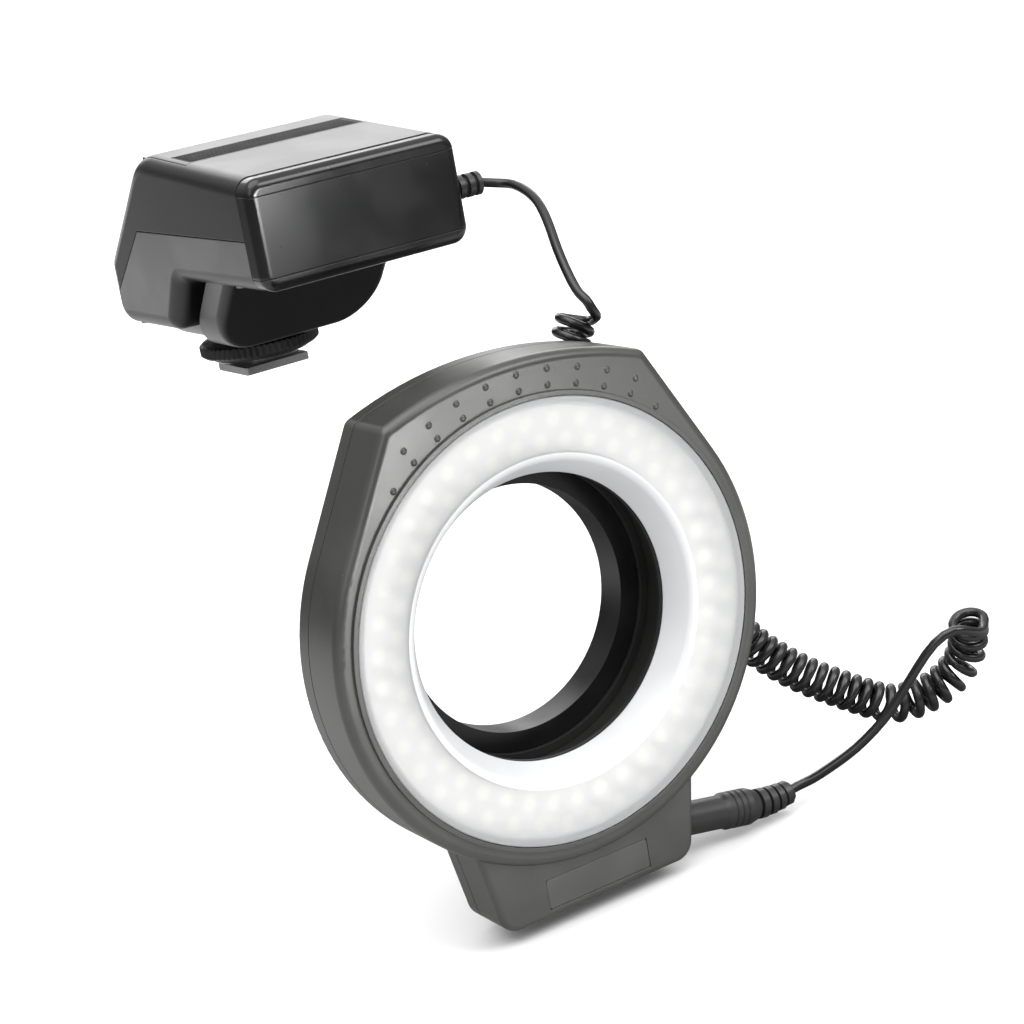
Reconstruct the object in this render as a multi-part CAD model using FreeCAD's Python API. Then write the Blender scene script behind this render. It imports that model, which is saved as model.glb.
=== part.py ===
"""Macro ring light: a ring-shaped head of light-emitting diodes, a control unit on a
shoe foot, and the curly cord between them.

Millimetres. The origin is the centre of the shoe foot's underside. +Z is up, -Y is the
way the light shines and +X is to the right of someone who looks at the lit face.
"""
import FreeCAD, Part
import math
import os
from FreeCAD import Placement, Rotation, Vector

os.makedirs("parts", exist_ok=True)

# Where the ring's centre lies, measured from the shoe foot
ring_ahead = 131.6
ring_drop = 49.0

# Radii about the light's axis, from the lens thread outwards, each with its step
lens_thread_r = 31.0
lens_lip = 1.5
lens_hub_step = 2.0
retainer_step = 1.4
lens_flange_step = 3.0
tube_step = 0.6
throat_step = 3.1
window_step = 1.0
led_margin = 4.4
led_row_step = 5.0
led_edge = 5.0
flange_step = 1.8
rim_step = 5.0
lens_bore_r = lens_thread_r - lens_lip
lens_hub_r = lens_thread_r + lens_hub_step
retainer_bore_r = lens_hub_r + retainer_step
lens_flange_r = lens_hub_r + lens_flange_step
tube_r = lens_flange_r + tube_step
throat_r = tube_r - throat_step
window_r = tube_r + window_step
led_rows = (window_r + led_margin, window_r + led_margin + led_row_step)
diffuser_r = led_rows[1] + led_edge
flange_r = diffuser_r + flange_step
head_r = diffuser_r + rim_step

# Ring head outline, seen from the front
cap_rise = 4.6
cap_top = head_r + cap_rise
cap_arc_r = 97.0
cap_flank_deg = 28.9
cap_corner_r = 3.0
box_half_top = 30.8
box_sink = 10.0
box_drop = 12.0
box_top = box_sink - head_r
box_bottom = -head_r - box_drop
box_tilt_deg = 10.5
box_corner_r = 5.0
box_overlap = 8.0

# Ring head depth, from the diffuser's front edge backwards
head_face = 0.8
box_face = 3.0
head_seam = 14.0
head_back = 19.5
head_wall = 2.0
head_front_edge_r = 2.2
head_back_edge_r = 1.4
box_front_edge_r = 1.5
rim_width = 1.1
seam_gap = 0.3
tongue_depth = 1.8
tongue_wall = 0.9
snug = 0.1

# Grip dots on the cap
dot_r = 0.8
dot_height = 0.45
dot_row_steps = (2.6, 6.3)
dot_rows = (diffuser_r + dot_row_steps[0], diffuser_r + dot_row_steps[1])
dots_per_row = 9
dot_step_deg = 7.98
end_dot_step = 2.43
end_dot_deg = 49.844

# Diffuser, inner tube and lens ring
window_dish = 1.2
dish_inset = 1.0
collar_depth = 8.3
diffuser_wall = 1.4
flange_t = 1.2
tube_wall = 1.6
tube_lip = 1.1
retainer_t = 1.0
lens_flange_t = 1.8
lens_thread_len = 4.2
hub_wall = 2.3
hub_lip_t = 1.5
run_gap = 0.3
fit_gap = 0.05

# Light board
board_t = 1.6
board_inner_gap = 0.5
board_outer_gap = 1.0
board_r_in = tube_r + tube_wall + board_inner_gap
board_r_out = diffuser_r - board_outer_gap
board_front = 11.6
board_tail_half = 9.0
board_tail_up = 11.0
board_tail_end = box_bottom + board_tail_up
board_tail_root = 3.0
board_post_r = 2.0
board_post_inset = 6.0
board_post_ring = board_r_out - board_post_inset
leds_per_row = 40
led_r = 2.4
led_flange_r = 2.7
led_flange_t = 0.8
led_len = 3.4
tray_floor = 0.8
tray_gap = 0.25
link_half = 6.0
link_w = 2.5

# Screws
screw_r = 1.1
screw_head_r = 2.3
screw_head_t = 1.3
boss_r = 2.6
boss_rib = 1.0
pilot_gap = 0.05
head_screw_len = 11.0
cap_boss_x = 30.5
cap_boss_sink = 11.1
cap_boss_z = cap_top - cap_boss_sink
box_boss_x = 23.5
box_boss_up = 16.5
box_boss_z = box_bottom + box_boss_up
head_bosses = (
    (cap_boss_x, cap_boss_z),
    (-cap_boss_x, cap_boss_z),
    (box_boss_x, box_boss_z),
    (-box_boss_x, box_boss_z),
)

# Lower box of the ring head: driver board, socket and blank badge. Round parts as place
# across and up the board, radius and height; flat ones as place, width, height, thickness
driver_half_w = 22.0
driver_up = 3.5
driver_h = 10.7
driver_bottom = box_bottom + driver_up
driver_top = driver_bottom + driver_h
jack_up = 6.8
jack_z = box_bottom + jack_up
jack_y = 10.5
jack_nose_r = 3.7
jack_body = 9.0
jack_len = 12.0
jack_bore_r = 2.85
choke_can = (-14.0, 5.5, 4.0, 6.0)
choke_bore = (1.6, 3.0)
driver_can = (-5.5, 4.0, 2.5, 7.5)
driver_chips = ((0.5, 1.5, 5.0, 4.0, 1.6), (1.0, 6.5, 2.0, 1.2, 0.6), (4.2, 6.5, 2.0, 1.2, 0.6))
badge_w = 28.6
badge_h = 7.2
badge_up = 5.8
badge_z = box_bottom + badge_up
badge_t = 0.5
badge_corner_r = 0.6

# Plug
plug_r = 4.15
plug_grip_r = 4.6
plug_barrel_r = 2.75
plug_barrel_len = 9.5
plug_barrel_bore = 1.25
plug_straight = 14.0
plug_grip_len = 7.0
plug_groove_w = 0.6
plug_groove_d = 0.4
plug_neck_len = 2.6
relief_core_r = 2.5
relief_len = 11.4
relief_bend_deg = 17.0
relief_ribs = ((1.0, 1.9, 3.75), (3.9, 1.7, 3.55), (6.5, 1.6, 3.35), (8.9, 1.7, 3.1))

# Control unit case, seen from the side as (y, z) corners with their rounding
cell_len = 49.2
cell_end_room = 2.1
case_wall = 1.8
case_half = cell_len / 2 + cell_end_room + case_wall
case_front = -66.5
case_side_r = 4.2
top_front_z = 57.73
top_rise = 0.085
panel_top = (-9.29, 62.6)
panel_top_r = 16.0
panel_low = (21.7, 34.4)
panel_low_r = 6.0
case_rear = 22.2
case_bottom = 16.8
case_rear_r = 6.0
open_reach = 5.0
belly_front = -12.9
belly_r = 5.0
overhang_z = 30.4
overhang_end = -22.0
overhang_r = 4.0
side_seam_z = 42.9
side_seam_turn = -2.3
side_seam_low = (21.8, 23.2)
case_seam_gap = 0.24
case_tongue = 1.5
case_tongue_wall = 0.9

# Front frame and its window
frame_depth = 6.0
frame_top = 57.5
frame_edge_r = 2.5
frame_gap = 0.1
window_low = 33.8
window_high = 53.4
window_gap = 0.15
window_t = 2.0
frame_wall = 1.2
clip_w = 6.0
clip_x = 11.5
clip_len = 4.5
clip_t = 1.2

# Pedestal under the case
pedestal_step = 4.5
pedestal_core_step = 3.5
pedestal_half = case_half - pedestal_step
pedestal_core_half = pedestal_half - pedestal_core_step
pedestal_bottom = 10.0
pedestal_corner_r = 12.0
pedestal_front_low = -23.5
pedestal_lean = 11.0 / 12.0
pedestal_strip = 13.0
pedestal_rear = 14.5
pedestal_edge_r = 2.5
pedestal_wall = 2.0

# Shoe foot, its lock and its contact
foot_w = 18.5
foot_len = 18.0
foot_t = 2.0
foot_edge = 0.4
neck_w = 12.0
neck_len = 14.0
neck_top = 3.8
stud_r = 6.0
stud_tip_r = 5.0
stud_tip = 15.4
nut_flat = 15.0
nut_t = 2.6
lock_plate_r = 13.0
lock_plate_t = 0.8
lock_plate_z = 3.9
lock_wheel_r = 16.0
lock_wheel_t = 3.8
lock_gap = 0.1
knurls = 60
knurl_depth = 0.45
key_half = 0.6
key_inner = 5.1
pin_r = 1.0
pin_proud = 0.5
pin_flange_r = 1.5
pin_flange_t = 0.7
pin_floor = 1.8
pin_pocket_r = 1.8
pin_pocket_top = 8.0

# Battery compartment
cell_r = 7.1
cell_space = 0.3
cell_pitch = 2 * cell_r + cell_space
cell_nub_r = 2.7
cell_nub = 1.0
cell_front_y = -28.2
cell_top_z = 51.4
cell_edge = 0.6
contact_t = 0.4
contact_w = 9.0
spring_base_r = 3.6
spring_tip_r = 2.2
spring_wall = 0.5
bulkhead_t = 1.2
cradle_gap = 0.2
cradle_rib_t = 1.6
cradle_base_t = 1.2
door_edge = 2.7
door_half = case_half - door_edge
door_front = -35.8
door_rear_z = 57.6
door_gap = 0.2
door_t = 1.6
door_travel = 24.0
rail_t = 0.9
rail_reach = 0.6
rail_web = 0.4
rail_gap = 0.35
rail_len = 9.0
rail_starts = (-34.6, -19.0)
grip_edge = 1.5
grip_half = door_half - grip_edge
grip_w = 11.0
grip_depth = 0.5
grip_ribs = 8
grip_front = 0.9
grip_margin = 1.0
grip_rib_top = 0.05

# Boards and screws in the case. Round parts as place across and back from the board's front
# edge, radius and height; blocks as place, width, length and height
main_board_edge = 8.0
main_board_half = case_half - main_board_edge
main_board_front = -64.0
main_board_rear = -39.5
main_board_z = 36.0
inductor_can = (-11.0, 16.0, 5.0, 6.5)
inductor_bore = (2.0, 3.5)
main_cans = ((-2.0, 6.5, 3.15, 11.0), (-12.5, 5.5, 2.5, 8.0))
main_blocks = ((0.0, 12.0, 7.0, 7.0, 1.4), (-3.5, 20.2, 6.0, 2.8, 8.0), (12.0, 1.5, 6.0, 5.5, 4.5))
post_inset = 3.5
case_boss_edge = 4.5
case_boss_x = case_half - case_boss_edge
case_boss_front_y = -52.0
case_boss_rear_y = 13.0
case_boss_r = 2.4
case_split_front = 38.0
case_split_rear = 24.0
case_screw_len = 12.0

# Rear panel, in its own plane: x across, y down the slope, z outwards
panel_shift = 1.5
panel_board_z = -6.8
panel_board_t = 1.2
panel_board_edge = 7.7
panel_board_half = case_half - panel_board_edge
panel_board_up = 8.5
panel_board_down = 8.5
slider_x = -11.0
slider_knob = (2.5, 1.5, 1.4)
slider_travel = 2.5
slider_side_gap = 0.4
slider_plate_t = 0.8
slider_cover = 0.6
slider_tick_r = 0.3
slider_tick_pitch = 1.4
switch_body_half = 7.0
button_xs = (5.5, 15.5)
button_r = 3.3
button_gap = 0.35
button_proud = 1.0
button_travel = 0.8
button_flange = 1.0
button_flange_t = 0.8
button_stem_r = 1.2
button_dish = 0.25
tact_half = 2.6
lamp_x = 10.5
lamp_y = -7.0
lamp_r = 1.5
lamp_proud = 0.6

# Cord relief on the control unit's right side
relief_y = -64.1
relief_z = 42.5
gland_r = 2.1
gland_len = 9.5
gland_end = case_half + gland_len
gland_flange_r = 3.5
gland_flange_t = 1.0
gland_inner_r = 2.4
gland_mouth_r = 1.65
gland_mouth = 0.8
lead_start = 0.3
plug_exit = 1.3
gland_rib_r = 3.0
gland_ribs = ((2.7, 1.5), (5.4, 1.5), (7.9, 1.2))

# Cord
wire_d = 2.4
curl_r = 3.9
closed_pitch = 2.95
curl_start = (0.82, -0.57, 0.0)
curl_end = (0.50, -0.85, -0.1)
curl_clear = 0.4
curl_samples = 24

# Hand-chosen route points of the cord: upper lead, axis of the curls, lower lead
upper_route = (
    (42.7, -65.5, 41.3),
    (44.5, -69.5, 40.9),
    (44.1, -76.5, 39.1),
    (43.2, -81.5, 37.2),
    (41.7, -86.0, 34.7),
    (40.0, -90.3, 31.9),
    (38.0, -94.6, 28.8),
    (36.4, -98.6, 25.8),
    (35.2, -102.2, 22.9),
    (34.3, -105.6, 20.0),
    (33.8, -108.4, 17.9),
    (34.1, -110.7, 16.6),
    (34.7, -111.2, 14.3),
)
curl_route = (
    (35.2, -103.6, 12.2),
    (32.6, -103.6, 7.6),
    (30.6, -103.6, 1.5),
    (31.6, -103.6, -7.5),
    (37.0, -103.6, -18.0),
    (45.0, -103.6, -31.5),
    (52.5, -103.6, -47.5),
    (59.5, -103.6, -64.0),
    (66.5, -103.3, -79.0),
    (77.0, -109.5, -91.0),
    (89.3, -118.1, -99.8),
    (98.6, -123.0, -105.4),
    (109.4, -128.9, -101.9),
    (114.6, -132.8, -94.9),
    (114.0, -135.9, -87.3),
    (113.2, -137.2, -83.6),
)
lower_route = (
    (107.2, -144.8, -83.4),
    (102.6, -144.1, -81.2),
    (97.7, -141.8, -83.6),
    (93.9, -139.0, -89.3),
    (90.1, -135.6, -96.3),
    (86.7, -132.6, -102.1),
    (81.3, -129.8, -107.0),
    (77.3, -127.6, -109.9),
    (72.6, -125.0, -112.6),
    (68.6, -122.6, -114.8),
)

# Least rounding of an inner corner, and how near counts as on a face
least_round = 0.4
near = 0.01

ALONG_Y = Vector(0, 1, 0)
UP = Vector(0, 0, 1)


def box(x0, x1, y0, y1, z0, z1):
    return Part.makeBox(x1 - x0, y1 - y0, z1 - z0, Vector(x0, y0, z0))


def rod_y(r, y0, y1, x=0.0, z=0.0):
    return Part.makeCylinder(r, y1 - y0, Vector(x, y0, z), ALONG_Y)


def rod_z(r, z0, z1, x=0.0, y=0.0):
    return Part.makeCylinder(r, z1 - z0, Vector(x, y, z0), UP)


def rod_x(r, x0, x1, y, z):
    return Part.makeCylinder(r, x1 - x0, Vector(x0, y, z), Vector(1, 0, 0))


def turned_y(points):
    """A closed (radius, y) outline turned about the Y axis."""
    corners = [Vector(r, y, 0) for r, y in points]
    face = Part.Face(Part.makePolygon(corners + corners[:1]))
    return face.revolve(Vector(0, 0, 0), ALONG_Y, 360)


def turned_z(points):
    """A closed (radius, z) outline turned about the Z axis."""
    corners = [Vector(r, 0, z) for r, z in points]
    face = Part.Face(Part.makePolygon(corners + corners[:1]))
    return face.revolve(Vector(0, 0, 0), UP, 360)


def joined(shapes):
    first = shapes[0]
    return first.multiFuse(shapes[1:]).removeSplitter()


def rounded(shape, radius, wanted):
    """Round the edges whose middle point and two ends all pass the test."""
    picked = []
    for edge in shape.Edges:
        middle = edge.valueAt((edge.FirstParameter + edge.LastParameter) / 2)
        points = [middle] + [v.Point for v in edge.Vertexes]
        if all(wanted(p) for p in points):
            picked.append(edge)
    return shape.makeFillet(radius, picked)


def head_place(shape):
    """Move a shape from the ring's own centre to its place before the shoe foot."""
    moved = shape.copy()
    moved.translate(Vector(0, -ring_ahead, -ring_drop))
    return moved


# Ring head outline

def cap_prism(inset, y0, y1):
    """Wider cap: two flanks tangent to the round body, under a flat arc."""
    a = math.radians(cap_flank_deg)
    r = head_r - inset
    arc_r = cap_arc_r - inset
    arc_z = cap_top - cap_arc_r
    foot_x = r * math.cos(a)
    foot_z = r * math.sin(a)
    half_b = -foot_x * math.sin(a) + (foot_z - arc_z) * math.cos(a)
    c = foot_x ** 2 + (foot_z - arc_z) ** 2 - arc_r ** 2
    t = -half_b + math.sqrt(half_b ** 2 - c)
    corner_x = foot_x - t * math.sin(a)
    corner_z = foot_z + t * math.cos(a)
    low_right = Vector(foot_x, y0, foot_z)
    right = Vector(corner_x, y0, corner_z)
    top = Vector(0, y0, cap_top - inset)
    left = Vector(-corner_x, y0, corner_z)
    low_left = Vector(-foot_x, y0, foot_z)
    edges = [
        Part.makeLine(low_right, right),
        Part.Arc(right, top, left).toShape(),
        Part.makeLine(left, low_left),
        Part.makeLine(low_left, low_right),
    ]
    prism = Part.Face(Part.Wire(edges)).extrude(Vector(0, y1 - y0, 0))
    corner_r = max(cap_corner_r - inset, least_round)

    def on_corner(p):
        return abs(abs(p.x) - corner_x) < near and abs(p.z - corner_z) < near
    return rounded(prism, corner_r, on_corner)


def round_block(inset, y0, y1):
    """Round body with its cap, its outline moved inwards by inset."""
    return joined([rod_y(head_r - inset, y0, y1), cap_prism(inset, y0, y1)])


def box_block(inset, y0, y1):
    """Lower box, narrower towards its bottom, its outline moved inwards by inset."""
    tilt = math.tan(math.radians(box_tilt_deg))
    side = inset / math.cos(math.radians(box_tilt_deg))
    top = box_top + box_overlap
    bottom = box_bottom + inset
    half_top = box_half_top + box_overlap * tilt - side
    half_low = box_half_top - (box_top - bottom) * tilt - side
    corners = [
        Vector(-half_top, y0, top),
        Vector(half_top, y0, top),
        Vector(half_low, y0, bottom),
        Vector(-half_low, y0, bottom),
    ]
    face = Part.Face(Part.makePolygon(corners + corners[:1]))
    prism = face.extrude(Vector(0, y1 - y0, 0))
    corner_r = max(box_corner_r - inset, least_round)

    def on_corner(p):
        return abs(p.z - bottom) < near and abs(abs(p.x) - half_low) < near
    return rounded(prism, corner_r, on_corner)


def head_block(inset, y0, y1):
    """The whole head, round body and lower box, its outline moved inwards by inset."""
    return joined([round_block(inset, y0, y1), box_block(inset, y0, y1)])


def wall_half(z):
    """Half width of the lower box at a height."""
    return box_half_top - (box_top - z) * math.tan(math.radians(box_tilt_deg))


def jack_place(shape):
    """Turn a shape made along +Z, from the box's side wall outwards, onto the socket's axis."""
    moved = shape.copy()
    turn = Rotation(ALONG_Y, 90 + box_tilt_deg)
    moved.Placement = Placement(Vector(wall_half(jack_z), jack_y, jack_z), turn)
    return moved


def jack_hole():
    return jack_place(rod_z(jack_nose_r + snug, -2 * head_wall, head_wall))


def head_front_shell():
    seam = head_seam - seam_gap / 2
    body = round_block(0, head_face, seam)
    body = rounded(body, head_front_edge_r, lambda p: abs(p.y - head_face) < near)
    lower = box_block(0, box_face, seam)
    lower = rounded(lower, box_front_edge_r, lambda p: abs(p.y - box_face) < near and p.z < box_top + 1)
    rim = turned_y([
        (diffuser_r + snug, 0.0),
        (diffuser_r + snug + rim_width, 0.0),
        (diffuser_r + snug + rim_width, head_face + head_wall / 2),
        (diffuser_r + snug, head_face + head_wall / 2),
    ])
    shell = joined([body, lower, rim])
    shell = shell.cut(round_block(head_wall, head_face + head_wall, head_seam + 1))
    shell = shell.cut(box_block(head_wall, box_face + head_wall, head_seam + 1))
    shell = shell.cut(rod_y(diffuser_r + snug, -1, head_face + head_wall + 1))
    boss_front = head_face + head_wall + flange_t + 3 * snug
    boss_back = head_seam - tongue_depth - snug
    bosses = []
    for x, z in head_bosses:
        front = boss_front if z > 0 else box_face + head_wall / 2
        boss = rod_y(boss_r, front, boss_back, x, z)
        if z > 0:
            wing = box(x - boss_r, x + boss_r, front, boss_back, z, z + 2 * boss_r)
            keep = round_block(head_wall / 2, front, boss_back)
        else:
            wall_x = x + math.copysign(2 * boss_r, x)
            wing = box(min(x, wall_x), max(x, wall_x), front, boss_back, z - boss_rib, z + boss_rib)
            keep = box_block(head_wall / 2, front, boss_back)
        bosses.append(boss.fuse(wing).common(keep))
    shell = joined([shell] + bosses)
    for x, z in head_bosses:
        shell = shell.cut(rod_y(screw_r + pilot_gap, head_back - head_screw_len - 1, head_back, x, z))
    shell = shell.cut(jack_hole())
    recess = box(-badge_w / 2 - snug, badge_w / 2 + snug, box_face - 1, box_face + badge_t + snug,
                 badge_z - badge_h / 2 - snug, badge_z + badge_h / 2 + snug)
    shell = shell.cut(recess)
    return shell.fuse(grip_dots())


def grip_dots():
    """Low domes in two curved rows on the cap, with one more at each end."""
    places = []
    middle = (dots_per_row - 1) / 2
    for row in dot_rows:
        for k in range(dots_per_row):
            a = math.radians(90 + (k - middle) * dot_step_deg)
            places.append((row * math.cos(a), row * math.sin(a)))
    end = math.radians(end_dot_deg)
    for side in (-1, 1):
        reach = diffuser_r + end_dot_step
        places.append((side * reach * math.cos(end), reach * math.sin(end)))
    sphere_r = (dot_r ** 2 + dot_height ** 2) / (2 * dot_height)
    domes = []
    for x, z in places:
        ball = Part.makeSphere(sphere_r, Vector(x, head_face - dot_height + sphere_r, z))
        cutter = rod_y(dot_r + 0.2, head_face - 1, head_face + 0.2, x, z)
        domes.append(ball.common(cutter))
    return domes


def head_rear_shell():
    seam = head_seam + seam_gap / 2
    floor = head_back - head_wall
    body = round_block(0, seam, head_back)
    body = rounded(body, head_back_edge_r, lambda p: abs(p.y - head_back) < near)
    lower = box_block(0, seam, head_back)
    lower = rounded(lower, head_back_edge_r, lambda p: abs(p.y - head_back) < near and p.z < box_top + 1)
    shell = joined([body, lower])
    shell = shell.cut(round_block(head_wall, seam - 1, floor))
    shell = shell.cut(box_block(head_wall, seam - 1, floor))
    tongue_outer = head_wall + snug
    tongue_inner = tongue_outer + tongue_wall
    tongue_front = head_seam - tongue_depth
    tongue = head_block(tongue_outer, tongue_front, seam)
    root = head_block(head_wall / 2, seam, seam + tongue_wall)
    inside = head_block(tongue_inner, tongue_front - 1, seam + 2)
    shell = joined([shell, tongue.fuse(root).cut(inside).cut(jack_room())])
    hub_r = lens_hub_r + fit_gap
    pocket_r = lens_flange_r + run_gap + snug
    pocket_back = head_back + snug + lens_flange_t + 2 * run_gap
    hub = turned_y([
        (tube_r + tube_wall + snug, floor),
        (tube_r + tube_wall + hub_wall, floor),
        (tube_r + tube_wall + hub_wall, pocket_back + hub_lip_t),
        (hub_r, pocket_back + hub_lip_t),
        (hub_r, pocket_back),
        (pocket_r, pocket_back),
        (pocket_r, head_back - snug),
        (tube_r + tube_wall + snug, head_back - snug),
    ])
    shell = shell.cut(rod_y(tube_r + tube_wall + snug, floor - 1, head_back + 1))
    posts = []
    root_y = floor + head_wall / 2
    for k in range(4):
        a = math.radians(45 + 90 * k)
        x = board_post_ring * math.cos(a)
        z = board_post_ring * math.sin(a)
        posts.append(rod_y(board_post_r, board_front + board_t, root_y, x, z))
    driver_back = jack_y + jack_body / 2 + board_t
    for x in (post_inset - driver_half_w, driver_half_w - post_inset):
        posts.append(rod_y(board_post_r, driver_back, root_y, x, driver_bottom + post_inset))
    bosses = []
    for x, z in head_bosses:
        bosses.append(rod_y(boss_r, tongue_front, root_y, x, z))
    shell = joined([shell, hub] + posts + bosses)
    for x, z in head_bosses:
        shell = shell.cut(rod_y(screw_r + snug, tongue_front - 1, head_back + 1, x, z))
        seat = head_back - screw_head_t - snug
        shell = shell.cut(rod_y(screw_head_r + snug, seat, head_back + 1, x, z))
    return shell.cut(jack_hole())


def diffuser_ring():
    """Frosted front: dished face, smooth collar down to the tube, and a hidden flange."""
    flange_front = head_face + head_wall + snug
    return turned_y([
        (diffuser_r, 0.0),
        (diffuser_r, flange_front),
        (flange_r, flange_front),
        (flange_r, flange_front + flange_t),
        (diffuser_r - diffuser_wall, flange_front + flange_t),
        (diffuser_r - diffuser_wall, diffuser_wall + 0.1),
        (window_r + dish_inset, window_dish + diffuser_wall),
        (throat_r + diffuser_wall, collar_depth),
        (throat_r, collar_depth),
        (window_r, window_dish),
    ])


def led_angles(row):
    shift = 0.5 if row == led_rows[0] else 0.0
    return [2 * math.pi * (k + shift) / leds_per_row for k in range(leds_per_row)]


def reflector_tray():
    """White channel behind the diffuser, with a hole for each diode."""
    inner = tube_r + tube_wall + tray_gap
    inner_face = led_rows[0] - led_r - 2 * tray_gap
    outer = diffuser_r - diffuser_wall - snug
    outer_face = led_rows[1] + led_r + 1.5 * tray_gap
    skirt = led_rows[1] + led_flange_r + tray_gap
    floor = board_front - led_flange_t - tray_gap
    under_face = diffuser_wall + 0.1 + 2 * tray_gap
    under_collar = window_dish + diffuser_wall + 2 * tray_gap
    tray = turned_y([
        (inner, under_collar),
        (inner_face, under_collar),
        (inner_face, floor - tray_floor),
        (outer_face, floor - tray_floor),
        (outer_face, under_face),
        (outer, under_face),
        (outer, board_front),
        (skirt, board_front),
        (skirt, floor),
        (inner, floor),
    ])
    holes = []
    for row in led_rows:
        for a in led_angles(row):
            holes.append(rod_y(led_r + tray_gap, floor - 2 * tray_floor, floor + tray_floor,
                               row * math.cos(a), row * math.sin(a)))
    return tray.cut(Part.makeCompound(holes))


def led_board():
    board = rod_y(board_r_out, board_front, board_front + board_t)
    tail = box(-board_tail_half, board_tail_half, board_front, board_front + board_t,
               board_tail_end, board_tail_root - board_r_out)
    board = joined([board, tail])
    return board.cut(rod_y(board_r_in, board_front - 1, board_front + board_t + 1))


def leds():
    """One diode is a flange, a straight body and a half-round nose."""
    base = board_front
    neck = base - led_flange_t
    nose = neck - led_len
    tip = nose - led_r
    lean = led_r * math.sqrt(0.5)
    outline = Part.Wire([
        Part.makeLine(Vector(0, base, 0), Vector(led_flange_r, base, 0)),
        Part.makeLine(Vector(led_flange_r, base, 0), Vector(led_flange_r, neck, 0)),
        Part.makeLine(Vector(led_flange_r, neck, 0), Vector(led_r, neck, 0)),
        Part.makeLine(Vector(led_r, neck, 0), Vector(led_r, nose, 0)),
        Part.Arc(Vector(led_r, nose, 0), Vector(lean, nose - lean, 0), Vector(0, tip, 0)).toShape(),
        Part.makeLine(Vector(0, tip, 0), Vector(0, base, 0)),
    ])
    one = Part.Face(outline).revolve(Vector(0, 0, 0), ALONG_Y, 360)
    all_leds = []
    for row in led_rows:
        for a in led_angles(row):
            copy = one.copy()
            copy.translate(Vector(row * math.cos(a), 0, row * math.sin(a)))
            all_leds.append(copy)
    return Part.makeCompound(all_leds)


def inner_tube():
    front = collar_depth + snug
    return turned_y([
        (throat_r + snug, front),
        (tube_r + tube_wall, front),
        (tube_r + tube_wall, head_back - 2 * snug),
        (tube_r, head_back - 2 * snug),
        (tube_r, front + tube_lip),
        (throat_r + snug, front + tube_lip),
    ])


def retainer_ring():
    """Thin ring inside the tube that keeps the lens ring from moving forwards."""
    back = head_back + snug - run_gap
    outer = tube_r - fit_gap
    return turned_y([
        (retainer_bore_r, back - retainer_t),
        (outer, back - retainer_t),
        (outer, back),
        (retainer_bore_r, back),
    ])


def adapter_ring():
    """Lens ring: a flange trapped in the head, a running hub and the lens thread's outside."""
    front = head_back + snug
    flange_back = front + lens_flange_t
    hub_back = flange_back + 2 * run_gap + hub_lip_t + run_gap
    return turned_y([
        (lens_bore_r, front),
        (lens_flange_r, front),
        (lens_flange_r, flange_back),
        (lens_hub_r, flange_back),
        (lens_hub_r, hub_back),
        (lens_thread_r, hub_back),
        (lens_thread_r, hub_back + lens_thread_len),
        (lens_bore_r, hub_back + lens_thread_len),
    ])


def screw(length):
    """Countersunk-free screw along +Z, its head's top at zero and its shaft downwards."""
    body = joined([
        rod_z(screw_head_r, -screw_head_t, 0),
        rod_z(screw_r, -length, -screw_head_t / 2),
    ])
    slot = joined([box(-1.5, 1.5, -0.3, 0.3, -0.7, 1), box(-0.3, 0.3, -1.5, 1.5, -0.7, 1)])
    return body.cut(slot)


def head_screws():
    group = []
    for x, z in head_bosses:
        one = screw(head_screw_len)
        one.Placement = Placement(Vector(x, head_back - snug, z), Rotation(Vector(1, 0, 0), -90))
        group.append(one)
    return Part.makeCompound(group)


def driver_board():
    front = jack_y + jack_body / 2
    return box(-driver_half_w, driver_half_w, front, front + board_t, driver_bottom, driver_top)


def driver_parts():
    """Choke, capacitor, controller and two resistors, standing on the driver board."""
    face = jack_y + jack_body / 2
    parts = []
    for x, up, r, h in (choke_can, driver_can):
        parts.append(rod_y(r, face - h, face, x, driver_bottom + up))
    x, up, r, h = choke_can
    bore_r, bore_depth = choke_bore
    parts[0] = parts[0].cut(rod_y(bore_r, face - h - 1, face - h + bore_depth, x, driver_bottom + up))
    for x, up, w, tall, t in driver_chips:
        low = driver_bottom + up
        parts.append(box(x, x + w, face - t, face, low, low + tall))
    return Part.makeCompound(parts)


def board_link():
    """Pin header that carries the light board's tail onto the driver board."""
    low = board_tail_end + 0.5
    return box(-link_half, link_half, board_front + board_t, jack_y + jack_body / 2, low, low + link_w)


def jack_face():
    """Where the socket's body ends, measured outwards from the box's side wall."""
    return -head_wall - tongue_wall - run_gap


def jack_room():
    half = jack_body / 2 + snug
    face = jack_face()
    return jack_place(box(-half, half, -half, half, face - jack_len, face + snug))


def dc_jack():
    half = jack_body / 2
    face = jack_face()
    body = box(-half, half, -half, half, face - jack_len, face)
    nose = rod_z(jack_nose_r, face - 1, 0)
    jack = joined([body, nose]).cut(rod_z(jack_bore_r, -plug_barrel_len - 1, 1))
    pin = rod_z(1.0, -plug_barrel_len - 2, -1.5)
    return jack_place(joined([jack, pin]))


def badge_plate():
    plate = box(-badge_w / 2, badge_w / 2, box_face + snug, box_face + snug + badge_t,
                badge_z - badge_h / 2, badge_z + badge_h / 2)

    def on_corner(p):
        return abs(abs(p.x) - badge_w / 2) < near and abs(abs(p.z - badge_z) - badge_h / 2) < near
    return rounded(plate, badge_corner_r, on_corner)


# Control unit case

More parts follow.
